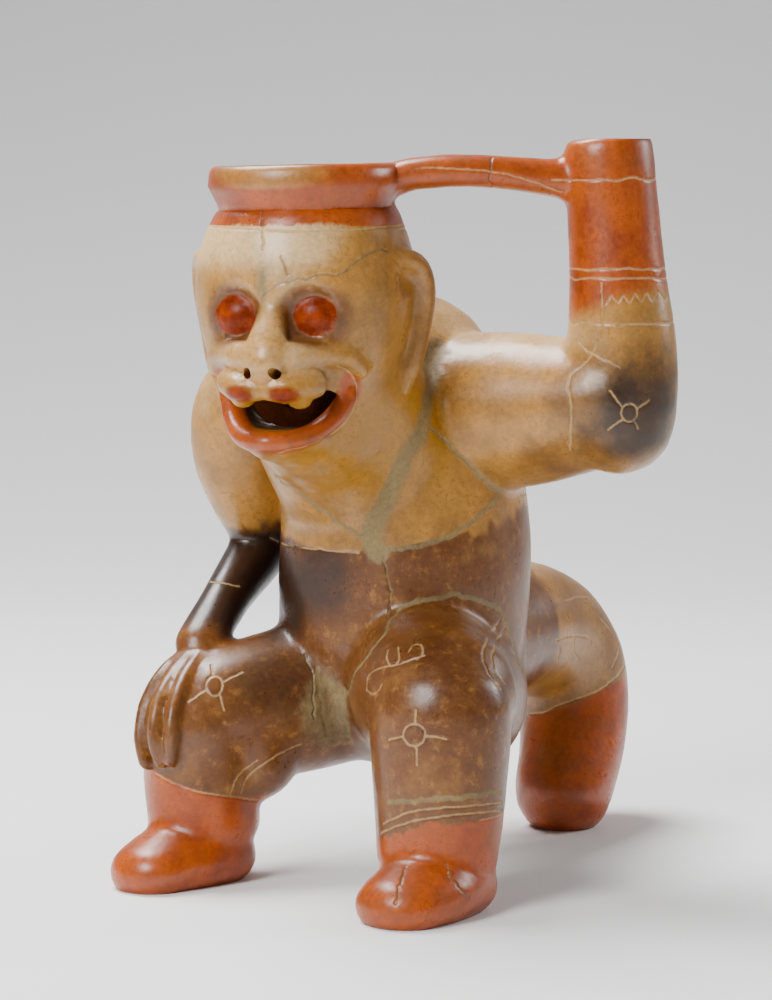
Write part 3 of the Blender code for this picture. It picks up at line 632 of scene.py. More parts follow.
def bar_stations():
    """The bar from the lip of the mouth to the spout."""
    high, deep = sizes().bar_half_height / SHARE, sizes().bar_half_depth / SHARE
    return [
        (3.5, -8.0, 93.8, high * 1.05, deep * 1.5),
        (8.0, -6.4, 95.4, high * 1.0, deep * 1.05),
        (14.0, -2.4, 95.8, high, deep),
        (20.0, 3.0, 95.2, high * 1.05, deep),
        (25.0, 7.6, 94.4, high * 1.3, deep * 1.15),
        (28.5, 9.6, 93.2, high * 1.6, deep * 1.3),
    ]


def head_limb(shape, stations, mirrored=False, **settings):
    """A limb given in the head's frame, and its mirror image on the other side."""
    for sign in (1, -1) if mirrored else (1,):
        rows = [head_station(sign * row[0], *row[1:]) for row in stations]
        limb(shape, rows, **settings)


def head_ball(shape, centre, radii):
    """A pair of egg shapes in the head's frame, one on each side."""
    for sign in (1, -1):
        ball(shape, head_point(sign * centre[0], *centre[1:]), radii, turn=HEAD_TURN)


def body_limbs(shape, thinner=0.0):
    """The limbs that are hollow, their skin moved in by thinner metres: the head's a little more."""
    limb(shape, TORSO, thinner=thinner, domes=(0.45 if thinner else 0.55, 1))
    limb(shape, NECK, thinner=thinner)
    limb(shape, HEAD, thinner=1.25 * thinner, domes=(0.9, 0))
    limb(shape, RAISED_ARM, thinner=thinner)
    limb(shape, ELBOW, thinner=thinner)
    limb(shape, spout_stations(), thinner=thinner, domes=(1, 0))
    for thigh in (RIGHT_THIGH, LEFT_THIGH):
        limb(shape, thigh, reference=UP, thinner=thinner)
    for shin in (RIGHT_SHIN, LEFT_SHIN):
        limb(shape, shin, thinner=thinner, domes=(0.9, 0.3))
    limb(shape, TAIL, reference=(1, 0, 0), thinner=thinner, domes=(1, 0.4 if thinner else 0.9))


def press_body(shape):
    """All the clay of the outside but the small features of the head and the hand, still overlapping."""
    body_limbs(shape)
    limb(shape, LOWERED_ARM)
    limb(shape, LOWERED_FOREARM, reference=UP)
    for foot in (RIGHT_FOOT, LEFT_FOOT):
        limb(shape, foot, reference=UP)
    ball(shape, KNEE, KNEE_RADII)
    ball(shape, CALF, CALF_RADII)
    head_limb(shape, SNOUT, reference=UP, domes=(1, 0.5))
    head_limb(shape, SNOUT_TOP, reference=UP, domes=(1, 0.5))
    head_limb(shape, JAW, reference=UP)
    turned(shape, collar_profile(), HEAD_X * SHARE, HEAD_Y * SHARE)
    limb(shape, bar_stations())


def press_features(shape):
    """The features laid on the body: nose, cheeks, lips, teeth, eyes, ears and fingers."""
    head_limb(shape, NOSE)
    head_limb(shape, CHEEK, mirrored=True, reference=UP)
    head_limb(shape, LIP_PAD, mirrored=True, reference=UP)
    head_limb(shape, LOWER_LIP, mirrored=True, reference=UP)
    head_limb(shape, EAR, mirrored=True)
    head_ball(shape, EYE, EYE_RADII)
    head_ball(shape, TOOTH, TOOTH_RADII)
    for finger in FINGERS:
        limb(shape, finger, reference=(1, 0, 0))


def mouth_cutter(shape):
    """A bar with the outline of the mouth, through the front of the snout."""
    outline = MOUTH + [(-side, up) for side, up in MOUTH[-2:0:-1]]
    near = [shape.verts.new(Vector(head_point(side, MOUTH_BACK, up)) * SHARE) for side, up in outline]
    far = [shape.verts.new(Vector(head_point(side, 20.0, up)) * SHARE) for side, up in outline]
    shape.faces.new(near)
    shape.faces.new(far)
    for i in range(len(outline)):
        k = (i + 1) % len(outline)
        shape.faces.new((near[i], near[k], far[k], far[i]))


def nostril_cutters(shape):
    """Two blind bores, one for each nostril."""
    for sign in (1, -1):
        spot = Vector(head_point(sign * NOSTRIL[0], *NOSTRIL[1:])) * SHARE
        ahead = Vector(head_point(0, 1, 0)) - Vector(head_point(0, 0, 0))
        ahead = (ahead + Vector((0, 0, 0.15))).normalized()
        placed = Matrix.Translation(spot - ahead * 0.5 * sizes().nostril_depth + ahead * 0.004)
        placed @= ahead.to_track_quat("Z", "Y").to_matrix().to_4x4()
        bmesh.ops.create_cone(shape, cap_ends=True, segments=NOSTRIL_SIDES, matrix=placed,
                              radius1=sizes().nostril_radius, radius2=sizes().nostril_radius,
                              depth=sizes().nostril_depth + 0.008)


def level_cutters(shape):
    """Blocks that flatten the undersides at the floor and the spout's rim at the full height."""
    for middle in (-0.5, HEIGHT + 0.5):
        bmesh.ops.create_cube(shape, size=1, matrix=Matrix.Translation((0, 0, middle)))


def vessel():
    """The piece, which the operators work on in turn."""
    return bpy.data.objects[PIECE]


def settled(made):
    """The object's mesh with its modifiers worked in."""
    bpy.context.view_layer.update()
    seen = made.evaluated_get(bpy.context.evaluated_depsgraph_get())
    mesh = bpy.data.meshes.new_from_object(seen)
    before = made.data
    made.modifiers.clear()
    made.data = mesh
    bpy.data.meshes.remove(before)
    return made


def pressed(made, voxel, rounds):
    """Presses overlapping shells into one body and smooths the joins."""
    remesh = made.modifiers.new("press", "REMESH")
    remesh.mode = "VOXEL"
    remesh.voxel_size = voxel
    smooth = made.modifiers.new("smooth", "SMOOTH")
    smooth.factor = 0.5
    smooth.iterations = rounds
    return settled(made)


def part_of(name, draw, *details):
    """A new object drawn by the given function."""
    shape = bmesh.new()
    draw(shape, *details)
    bmesh.ops.recalc_face_normals(shape, faces=shape.faces)
    mesh = bpy.data.meshes.new(name)
    shape.to_mesh(mesh)
    shape.free()
    made = bpy.data.objects.new(name, mesh)
    bpy.context.scene.collection.objects.link(made)
    return made


def laid_on(made, draw):
    """Adds drawn shells to the body's mesh, to be pressed with it."""
    shape = bmesh.new()
    draw(shape)
    bmesh.ops.recalc_face_normals(shape, faces=shape.faces)
    shape.from_mesh(made.data)
    shape.to_mesh(made.data)
    shape.free()


def smooth_faces(made):
    """Shades every face of the mesh as part of a curved skin."""
    for face in made.data.polygons:
        face.use_smooth = True


def combined(made, other, operation):
    """Joins the other object on or cuts it out, and removes it."""
    step = made.modifiers.new(operation.lower(), "BOOLEAN")
    step.object = other
    step.operation = operation
    step.solver = "EXACT"
    settled(made)
    bpy.data.objects.remove(other, do_unlink=True)


def thinned(made, triangles, kept=None):
    """Fewer, larger facets; kept gives each vertex a weight, 1 where facets may go and 0 where they stay."""
    now = sum(len(face.vertices) - 2 for face in made.data.polygons)
    fewer = made.modifiers.new("thin", "DECIMATE")
    fewer.ratio = min(1.0, triangles / now)
    if kept is not None:
        group = made.vertex_groups.new(name="kept")
        for weight in numpy.unique(kept):
            chosen = numpy.nonzero(kept == weight)[0]
            group.add(chosen.tolist(), float(weight), "REPLACE")
        fewer.vertex_group = "kept"
        fewer.vertex_group_factor = KEEP_FACTOR
    settled(made)
    made.vertex_groups.clear()


def level(turn):
    """The level direction at an angle round from +X."""
    return Vector((math.cos(turn), math.sin(turn), 0))


def camera_right():
    """The level direction to the camera's right."""
    return level(CAMERA_TURN)


def sight(across, down):
    """Direction of the camera's sight line through a place in the picture."""
    flat = math.cos(CAMERA_TILT)
    ahead = Vector((-math.sin(CAMERA_TURN) * flat, math.cos(CAMERA_TURN) * flat, -math.sin(CAMERA_TILT)))
    right = camera_right()
    rise = right.cross(ahead)
    step_right = (across - PICTURE_WIDTH / 2) / SIGHT_LENGTH
    step_up = (PICTURE_HEIGHT / 2 - down) / SIGHT_LENGTH
    return (ahead + step_right * right + step_up * rise).normalized()


def seen_spot(clay_tree, across, down):
    """Where the sight line through a place in the picture meets the clay."""
    return clay_tree.ray_cast(CAMERA_SPOT, sight(across, down))[0]


def curve_through(points, step):
    """Places along a smooth line through the points, about one step apart."""
    rows = [points[0], *points, points[-1]]
    spots = []
    for i in range(1, len(rows) - 2):
        reach = math.dist(rows[i], rows[i + 1])
        count = max(1, round(reach / step))
        for k in range(count):
            spots.append([between(*(rows[i + n][axis] for n in (-1, 0, 1, 2)), k / count)
                          for axis in range(len(points[0]))])
    spots.append(list(points[-1]))
    return spots


def wandering(points, amount):
    """The same line with the small wander of a crack or of a hand-held point."""
    moved = []
    for i, spot in enumerate(points):
        drift = noise.noise_vector(Vector((spot[0] * BROAD_DRIFT, spot[1] * BROAD_DRIFT, 3.7)))
        fine = noise.noise_vector(Vector((spot[0] * FINE_DRIFT, spot[1] * FINE_DRIFT, 9.1)))
        ends = 0.0 if i in (0, len(points) - 1) else 1.0
        moved.append([spot[axis] + ends * amount * (drift[axis] + 0.5 * fine[axis]) for axis in range(2)])
    return moved


def circle_points(across, down, radius, squeeze):
    """A drawn circle, in the picture; squeeze narrows it where the skin turns away."""
    turns = [math.radians(angle) for angle in range(0, 361, 30)]
    return [(across + squeeze * radius * math.cos(turn), down + radius * math.sin(turn)) for turn in turns]


def ring_spots(clay_tree, ring):
    """A line round a limb at one height: each spot is met from outside towards the limb's axis."""
    axis_x, axis_y, height, reach, start, end = ring
    spots = []
    for angle in range(start, end + 1, 2):
        turn = math.radians(angle)
        outward = level(turn)
        wobble = 0.35 * noise.noise(Vector((axis_x + 2.2 * math.cos(turn), 2.2 * math.sin(turn), height)))
        origin = Vector((axis_x, axis_y, height + wobble)) * SHARE + outward * reach * SHARE
        spots.append(clay_tree.ray_cast(origin, -outward, reach * SHARE)[0])
    return spots


def far_spots(clay_tree, facing, points):
    """A line on a side away from the camera: points are (across, up) in hundredths, seen from that side."""
    turn = math.radians(facing)
    outward = Vector((math.sin(turn), -math.cos(turn), 0))
    right = level(turn)
    spots = []
    for across, up in curve_through(points, FAR_STEP):
        origin = (right * across + Vector((0, 0, up))) * SHARE + outward * HEIGHT
        spots.append(clay_tree.ray_cast(origin, -outward)[0])
    return spots


def filled_in(spots):
    """Spots a fixed small step apart, with none across a jump from one limb to another."""
    dense = []
    for before, after in zip(spots, spots[1:]):
        if before is None or after is None:
            continue
        gap = (after - before).length
        if gap > LINE_JUMP:
            continue
        count = max(1, round(gap / LINE_STEP))
        dense += [before.lerp(after, k / count) for k in range(count)]
    return dense


def seen_course(clay_tree, points, wander):
    """A line drawn in the picture, laid on the clay."""
    course = wandering(curve_through(points, PICTURE_STEP), wander)
    return filled_in([seen_spot(clay_tree, *spot) for spot in course])


def all_lines(clay_tree):
    """Every engraved line, crack and filled join as (kind, spots on the clay)."""
    lines = [(kind, seen_course(clay_tree, points, wander))
             for kind, wander, drawn in SEEN_LINES for points in drawn]
    lines += [("engraved", seen_course(clay_tree, circle_points(*sun), SUN_WANDER)) for sun in SUNS]
    lines += [(kind, filled_in(ring_spots(clay_tree, ring))) for kind, ring in RINGS]
    lines += [(kind, filled_in(far_spots(clay_tree, facing, points))) for kind, facing, points in FAR_LINES]
    return lines


def line_tree(lines, kinds):
    """A search tree of the spots of these kinds of line, or None if there are none."""
    spots = [spot for kind, course in lines if kind in kinds for spot in course]
    tree = KDTree(max(1, len(spots)))
    for i, spot in enumerate(spots):
        tree.insert(spot, i)
    tree.balance()
    return tree if spots else None


def refined(made, tree, reach):
    """Splits the facets that lie within reach of a line."""
    shape = bmesh.new()
    shape.from_mesh(made.data)
    near = {vert for vert in shape.verts if tree.find(vert.co)[2] < reach}
    edges = [edge for edge in shape.edges if edge.verts[0] in near and edge.verts[1] in near]
    bmesh.ops.subdivide_edges(shape, edges=edges, cuts=1, use_grid_fill=True, smooth=1.0)
    shape.to_mesh(made.data)
    shape.free()


def coords(made):
    """The places of the mesh's vertices, in metres."""
    flat = numpy.empty(len(made.data.vertices) * 3, dtype=numpy.float32)
    made.data.vertices.foreach_get("co", flat)
    return flat.reshape(-1, 3)


def line_distances(made, lines, kinds):
    """Each vertex's distance to the nearest line of these kinds, in metres."""
    tree = line_tree(lines, kinds)
    if tree is None:
        return numpy.full(len(made.data.vertices), 1.0)
    return numpy.array([tree.find(vertex.co)[2] for vertex in made.data.vertices])


def cut_lines(made, lines):
    """Presses every line into the skin, each kind with its own width and depth."""
    normals = numpy.empty(len(made.data.vertices) * 3, dtype=numpy.float32)
    made.data.vertices.foreach_get("normal", normals)
    normals = normals.reshape(-1, 3)
    spots = coords(made)
    inward = numpy.zeros(len(spots))
    for kind, (half_width, depth) in LINE_KINDS.items():
        away = line_distances(made, lines, (kind,))
        profile = numpy.exp(-(away / half_width) ** 2)
        if kind in ("filled", "joint"):
            ragged = numpy.array([noise.noise(Vector(spot) * RAGGED_GRAIN) for spot in spots])
            profile *= 1.0 + RAGGED_SHARE * ragged
        inward = numpy.maximum(inward, depth * profile)
    wander = numpy.array([noise.fractal(Vector(spot) * SKIN_GRAIN, 1.0, 2.0, 3) for spot in spots])
    moved = spots - normals * (inward - wander * sizes().unevenness)[:, None]
    made.data.vertices.foreach_set("co", moved.astype(numpy.float32).ravel())
    made.data.update()


def dent(made, centre, radii, inwards, depth):
    """Pushes the skin in around a place: a smooth hollow of the given depth, in hundredths."""
    placed = Matrix.Translation(Vector(centre) * SHARE) @ Matrix.Rotation(HEAD_TURN, 4, "Z")
    sized = placed @ Matrix.Diagonal((*(radius * SHARE for radius in radii), 1))
    back = sized.inverted()
    push = Vector(inwards).normalized() * depth * SHARE
    for vertex in made.data.vertices:
        away = (back @ vertex.co).length
        if away < 1:
            vertex.co += push * (1 - away**4) ** 2


def head_direction(side, forward):
    """A level direction of the head's frame as one of the figure's."""
    return Vector(head_point(side, forward, 0)) - Vector(head_point(0, 0, 0))


def in_head(spots):
    """Places in hundredths as (to the head's left, forwards of its axis, up)."""
    left, ahead = head_direction(1, 0), head_direction(0, 1)
    from_axis = spots - numpy.array((HEAD_X, HEAD_Y, 0))
    return numpy.stack((from_axis @ numpy.array(left), from_axis @ numpy.array(ahead), spots[:, 2]), axis=1)


def patch(spots, centre, radii, soft=0.5):
    """1 inside an egg-shaped patch and 0 outside, with a soft edge."""
    away = numpy.linalg.norm((spots - numpy.array(centre)) / numpy.array(radii), axis=1)
    return eased(away, 1 + soft, 1 - soft)


def eased(values, start, end):
    """0 before start, 1 after end and smooth between, for either order of the two."""
    share = numpy.clip((values - start) / (end - start), 0, 1)
    return share * share * (3 - 2 * share)


def layered(*layers):
    """The strongest of several layers at each place."""
    return numpy.max(numpy.stack(layers), axis=0)


def patches(spots, rows):
    """The patches of a table, each at its own strength."""
    return [strength * patch(spots, centre, radii, soft) for strength, centre, radii, soft in rows]


def slip_layers(made, lines):
    """Where each slip and stain lies, and where highlight and shade are painted, as one value for each vertex.
    """
    spots = coords(made) / SHARE
    x, y, z = spots.T
    head = in_head(spots)
    side, forward, up = head.T
    mirrored = numpy.stack((numpy.abs(side), forward, up), axis=1)

    on_spout = eased(x, 20, 23) * eased(z, 60, 66)
    on_tail = eased(y, 28, 33)
    on_head = patch(spots, (HEAD_X, HEAD_Y - 2, 76), (19, 20, 21), 0.08) * eased(z, 55, 59)
    right_leg = eased(x, -4, -7) * eased(y, 5, 1)
    left_leg = eased(x, 3, 6) * eased(y, 5, 1)
    lowered = patch(spots, (-25.0, 3.0, 48), (8.6, 20, 25), 0.08) * eased(x, -17.5, -20)

    chest_border = 45.0 + 0.16 * numpy.clip(y + 8, 0, 40) + 0.12 * numpy.clip(x - 2, 0, 20)
    below_chest = eased(z, chest_border + 0.4, chest_border - 0.4)

    # The red is thinner on the front of the lip, so the pale clay shows there: worn slip and a painted
    # highlight.
    rim = eased(z, 88.4, 89.0) * (1 - 0.6 * patch(spots, (-4.0, -25.0, 95.3), (12, 11, 2.2), 0.5))
    spout_red = on_spout * eased(z + 0.35 * (30 - x), 72, 84)
    right_foot = right_leg * eased(z - (13.0 - 0.34 * (x + 16.1)), 0.5, -0.5)
    left_foot = left_leg * eased(z - (13.0 - 0.4 * numpy.clip(20.4 - x, 0, 20)), 0.5, -0.5)
    tail_end = on_tail * eased(z - (5.9 + 0.3 * x + 0.25 * y), 0.6, -0.6)
    lip_spots = [patch(mirrored, (row[0], row[1] + 0.4, row[2]), (1.9, 2.3, 1.7), 0.5)
                 for row in curve_through(LOWER_LIP, 0.8)]
    red = layered(rim, spout_red, right_foot, left_foot, tail_end, 0.8 * layered(*lip_spots))

    pads = patch(mirrored, (2.9, 16.4, 67.4), (2.6, 2.6, 1.5), 0.5)
    eyes = patch(mirrored, EYE, [1.1 * radius for radius in EYE_RADII], 0.12)
    deep_red = layered(eyes, 0.7 * pads)

    smoke = layered(
        *patches(spots, SMOKE_PATCHES),
        # Dark on the lowered forearm, in the hollow behind it and on the belly: painted shade, on the forearm
        # over a dark firing cloud.
        patch(spots, (-22.5, 0.0, 38.5), (9.0, 16, 8.5), 0.3) * eased(z, 47.5, 44.5),
        0.9 * patch(spots, (-12.5, -3.5, 38.0), (6, 9, 9), 0.6) * below_chest,
        0.8 * patch(spots, (-6.0, -8.0, 41.0), (7, 7, 6), 0.6) * below_chest,
        # Dark inside the mouth and in a ring round each eye in its socket: painted shade.
        patch(mirrored, (0.0, 8.0, 64.6), (8.0, 5.4, 3.4), 0.15),
        0.6 * patch(mirrored, EYE, [1.32 * radius for radius in EYE_RADII], 0.22) * (1 - eyes),
    )
    brown = layered(
        below_chest * (1 - on_tail) * (1 - 0.2 * lowered),
        0.45 * on_tail,
        # Brown in the eye sockets and in the ear hollows: painted shade.
        0.7 * patch(mirrored, (5.2, 11.6, 77.1), (5.6, 5.4, 4.9), 0.3),
        0.2 * patch(mirrored, EAR_HOLLOW, (2.6, 3.0, 3.2), 0.4),
        *patches(spots, BROWN_AND_SHADE_PATCHES),
        0.35 * on_spout * eased(z, 78, 68),
    )
    cream = layered(
        0.5 * on_head * eased(forward, 9.0, 15.0) * eased(z, 66.0, 71.0),
        # The top of the head and its right side, which face the light, are painted paler: painted highlight
        # over the head's pale slip.
        0.95 * on_head * eased(z, 79.5, 86.5) * eased(side, 12.0, 6.0),
        0.3 * on_head * eased(side, -6.0, -11.0),
        *patches(spots, CREAM_AND_HIGHLIGHT_PATCHES),
    )
    ochre = layered(
        on_head * eased(z, 74.0, 62.0),
        0.7 * patch(spots, (0.0, -6.0, 60.0), (16, 12, 10), 0.4),
        0.4 * patch(spots, (8.0, -10.0, 72.0), (6, 9, 12), 0.5),
    )
    filler = layered(
        0.8 * eased(line_distances(made, lines, ("filled",)), 0.0021, 0.0006),
        eased(line_distances(made, lines, ("joint",)), 0.0075, 0.0022),
        0.75 * patch(spots, (-4.8, -8.0, 22.5), (3.2, 6.0, 6.5), 0.4),
        0.85 * patch(spots, head_point(-0.6, 12.5, 81.8), (1.2, 3.5, 3.6), 0.5),
        0.3 * patch(mirrored, (0.0, 15.5, 71.5), (4.5, 3.5, 3.0), 0.5),
    )
    engraved = eased(line_distances(made, lines, ("engraved",)), 0.0009, 0.0003)
    cracked = eased(line_distances(made, lines, ("crack",)), 0.0009, 0.0002)
    return {
        "red_slip": red, "deep_red_slip": deep_red, "smoke_cloud_and_shade": smoke,
        "brown_slip_and_shade": brown, "cream_slip_and_highlight": cream, "ochre_slip": ochre,
        "crack_filler": filler, "engraved_line": engraved, "open_crack": cracked,
    }


class Nodes:
    """Lays out one material's nodes."""

    def __init__(self, material):
        material.use_nodes = True
        self.tree = material.node_tree
        self.shader = self.tree.nodes["Principled BSDF"]
        self.column = 0

    def placed(self, kind):
        """A new node, set in rows of twelve."""
        made = self.tree.nodes.new(kind)
        self.column += 1
        made.location = (-220 * (self.column % 12) - 300, -190 * (self.column // 12))
        return made

    def add(self, kind, settings=(), inputs=(), outlet=0):
        """A node with its settings and inputs; gives one of its outlets."""
        made = self.placed(kind)
        for name, value in dict(settings).items():
            setattr(made, name, value)
        for name, value in dict(inputs).items():
            self.feed(made.inputs[name], value)
        return made.outputs[outlet]

    def feed(self, socket, value):
        """Links an outlet to the socket, or sets it to a constant."""
        if isinstance(value, bpy.types.NodeSocket):
            self.tree.links.new(value, socket)
        else:
            socket.default_value = value

    def attribute(self, name):
        """The value of a layer laid on the clay."""
        return self.add("ShaderNodeAttribute", {"attribute_name": name}, outlet="Fac")

    def noise(self, scale, detail, roughness=0.55):
        """A grain through the clay, in waves to a metre."""
        place = self.add("ShaderNodeTexCoord", outlet="Object")
        inputs = {"Vector": place, "Scale": scale, "Detail": detail, "Roughness": roughness}
        return self.add("ShaderNodeTexNoise", {}, inputs, outlet="Fac")

    def sums(self, first, factor, second):
        """first x factor + second."""
        return self.add("ShaderNodeMath", {"operation": "MULTIPLY_ADD"}, {0: first, 1: factor, 2: second})

    def product(self, first, second):
        """first x second."""
        return self.add("ShaderNodeMath", {"operation": "MULTIPLY"}, {0: first, 1: second})

    def stepped(self, value, start, end, low=0.0, high=1.0):
        """A smooth step from low to high."""
        return self.add("ShaderNodeMapRange", {"interpolation_type": "SMOOTHSTEP"},
                        {"Value": value, "From Min": start, "From Max": end, "To Min": low, "To Max": high})

    def edged(self, layer, grain, uneven, start, end):
        """The named layer, its edge broken up by a grain."""
        centred = self.sums(grain, uneven, -0.5 * uneven)
        inputs = {0: self.attribute(layer), 1: centred}
        return self.stepped(self.add("ShaderNodeMath", {"operation": "ADD"}, inputs), start, end)

    def mixed(self, share, under, over, blend="MIX"):
        """One colour over another."""
        made = self.placed("ShaderNodeMix")
        made.data_type = "RGBA"
        made.blend_type = blend
        self.feed(made.inputs[0], share)
        for inlet, colour in ((6, under), (7, over)):
            plain = not isinstance(colour, bpy.types.NodeSocket)
            self.feed(made.inputs[inlet], (*colour, 1.0) if plain else colour)
        return made.outputs[2]


def scaled(colour, *shares):
    """The colour with its red, green and blue each taken at a share."""
    return [part * share for part, share in zip(colour, shares)]


def painted_clay(name, gloss):
    """Slip-painted clay, rubbed more or less, with worn edges, smoke clouds, filler, engraved lines, painted
    highlight and painted shade.
    """
    tints = bpy.context.scene.vessel_colours
    material = bpy.data.materials.new(name)
    nodes = Nodes(material)
    broad = nodes.noise(16.0, 3.0)
    mottle = nodes.noise(55.0, 5.0, 0.6)
    speckle = nodes.noise(420.0, 3.0, 0.7)
    grit = nodes.noise(1500.0, 2.0, 0.6)
    fleck = nodes.noise(170.0, 5.0, 0.7)

    colour = nodes.mixed(nodes.stepped(mottle, 0.35, 0.7), tints.tan, scaled(tints.tan, 0.66, 0.66, 0.66))
    ochre = nodes.edged("ochre_slip", broad, 0.7, 0.2, 1.0)
    colour = nodes.mixed(ochre, colour, tints.ochre)
    # Pale slip, and painted highlight on the tops and on the lit side.
    cream = nodes.edged("cream_slip_and_highlight", mottle, 0.9, 0.1, 1.0)
    colour = nodes.mixed(cream, colour, tints.cream)
    # Brown slip, and painted shade in the sockets, the ear hollows and under the raised arm.
    brown = nodes.edged("brown_slip_and_shade", mottle, 0.45, 0.2, 0.8)
    colour = nodes.mixed(brown, colour, tints.brown)
    darker = nodes.product(nodes.stepped(broad, 0.55, 0.3), nodes.product(brown, 0.55))
    colour = nodes.mixed(darker, colour, scaled(tints.brown, 0.45, 0.3, 0.2))
    worn = nodes.product(nodes.stepped(mottle, 0.48, 0.75), nodes.product(brown, 0.25))
    colour = nodes.mixed(worn, colour, tints.tan)
    flecks = nodes.product(nodes.stepped(fleck, 0.52, 0.72), nodes.sums(brown, 0.25, 0.15))
    colour = nodes.mixed(flecks, colour, tints.tan)
    # Smoke clouds, and painted shade in the mouth, round the eyes, on the belly and behind the lowered arm.
    smoke = nodes.edged("smoke_cloud_and_shade", mottle, 0.7, 0.1, 1.0)
    colour = nodes.mixed(nodes.product(smoke, 0.93), colour, tints.smoke)
    red_mask = nodes.edged("red_slip", mottle, 0.15, 0.3, 0.7)
    red = nodes.mixed(nodes.stepped(mottle, 0.38, 0.68), tints.red, scaled(tints.red, 0.6, 0.45, 0.4))
    rubbed = nodes.stepped(nodes.sums(broad, 0.6, nodes.product(mottle, 0.4)), 0.5, 0.75, 0.0, 0.4)
    red = nodes.mixed(rubbed, red, tints.tan)
    colour = nodes.mixed(red_mask, colour, red)
    deep = nodes.edged("deep_red_slip", speckle, 0.3, 0.3, 0.7)
    deep_red = nodes.mixed(nodes.stepped(fleck, 0.35, 0.7), scaled(tints.deep_red, 0.75, 0.75, 0.75),
                           scaled(tints.deep_red, 1.2, 1.5, 2.0))
    colour = nodes.mixed(deep, colour, deep_red)
    filler = nodes.edged("crack_filler", fleck, 0.9, 0.25, 0.95)
    filler_colour = nodes.mixed(nodes.stepped(mottle, 0.35, 0.65), tints.filler,
                                scaled(tints.filler, 1.5, 1.5, 1.5))
    colour = nodes.mixed(nodes.product(filler, 0.85), colour, filler_colour)
    crack = nodes.attribute("open_crack")
    colour = nodes.mixed(nodes.product(crack, 0.65), colour, tints.filler)
    line = nodes.edged("engraved_line", speckle, 0.6, 0.3, 1.0)
    colour = nodes.mixed(nodes.product(line, 0.6), colour, tints.scratch)
    grains = nodes.sums(speckle, 0.5, nodes.sums(fleck, 0.3, nodes.product(grit, 0.2)))
    shade = nodes.stepped(grains, 0.3, 0.7, 0.7, 1.18)
    grey = nodes.add("ShaderNodeCombineColor", {}, {0: shade, 1: shade, 2: shade})
    colour = nodes.mixed(1.0, colour, grey, "MULTIPLY")
    nodes.feed(nodes.shader.inputs["Base Color"], colour)

    rough = nodes.stepped(nodes.sums(mottle, 0.6, nodes.product(speckle, 0.4)), 0.3, 0.7, 0.25, 0.42)
    rough = nodes.sums(filler, 0.3, rough)
    rough = nodes.sums(line, 0.2, rough)
    nodes.feed(nodes.shader.inputs["Roughness"], rough)
    height = nodes.sums(mottle, 1.0, nodes.sums(speckle, 0.25, nodes.product(grit, 0.08)))
    height = nodes.sums(nodes.product(filler, speckle), 1.2, height)
    bump = nodes.add("ShaderNodeBump", {}, {"Strength": 0.45, "Distance": 0.0006, "Height": height})
    nodes.feed(nodes.shader.inputs["Normal"], bump)
    nodes.shader.inputs["Metallic"].default_value = 0.0
    nodes.shader.inputs["IOR"].default_value = 1.5
    nodes.shader.inputs["Specular IOR Level"].default_value = gloss
    return material


def plain_material(name, colour, roughness):
    """A material of one colour."""
    material = bpy.data.materials.new(name)
    material.use_nodes = True
    shader = material.node_tree.nodes["Principled BSDF"]
    shader.inputs["Base Color"].default_value = (*colour, 1.0)
    shader.inputs["Roughness"].default_value = roughness
    return material


def soft_light(name, spot, aim, width, power):
    """A round soft light at a spot, turned to its aim."""
    light = bpy.data.lights.new(name, "AREA")
    light.shape = "DISK"
    light.size = width
    light.energy = power
    made = bpy.data.objects.new(name, light)
    bpy.context.scene.collection.objects.link(made)
    made.location = spot
    made.rotation_mode = "QUATERNION"
    made.rotation_quaternion = (Vector(aim) - Vector(spot)).to_track_quat("-Z", "Y")


# What one step leaves for the next: the lines' spots, and the move into the vessel's place
WORKED = {}


class VESSEL_OT_press(bpy.types.Operator):
    """Press the limbs, the head and its features into one body of clay"""
    bl_idname = "vessel.press"
    bl_label = "Press the body"

    def execute(self, context):
        made = pressed(part_of(PIECE, press_body), sizes().grain, BODY_ROUNDS)
        for sign in (1, -1):
            dent(made, head_point(sign * SOCKET[0], *SOCKET[1:]), SOCKET_RADII,
                 head_direction(0, -1), SOCKET_DEPTH)
            dent(made, head_point(sign * EAR_HOLLOW[0], *EAR_HOLLOW[1:]), EAR_HOLLOW_RADII,
                 head_direction(-sign, 0), EAR_HOLLOW_DEPTH)
        combined(made, part_of("mouth_cutter", mouth_cutter), "DIFFERENCE")
        laid_on(made, press_features)
        pressed(made, sizes().fine_grain, FEATURE_ROUNDS)
        return {"FINISHED"}


class VESSEL_OT_engrave(bpy.types.Operator):
    """Cut the engraved lines, the cracks and the filled joins into the skin"""
    bl_idname = "vessel.engrave"
    bl_label = "Engrave the skin"

    def execute(self, context):
        made = vessel()
        clay_tree = BVHTree.FromObject(made, context.evaluated_depsgraph_get())
        lines = all_lines(clay_tree)
        if not lines:
            raise RuntimeError("no line meets the clay")
        refined(made, line_tree(lines, tuple(LINE_KINDS)), LINE_REACH + sizes().fine_grain)
        cut_lines(made, lines)
        WORKED["lines"] = lines
        return {"FINISHED"}


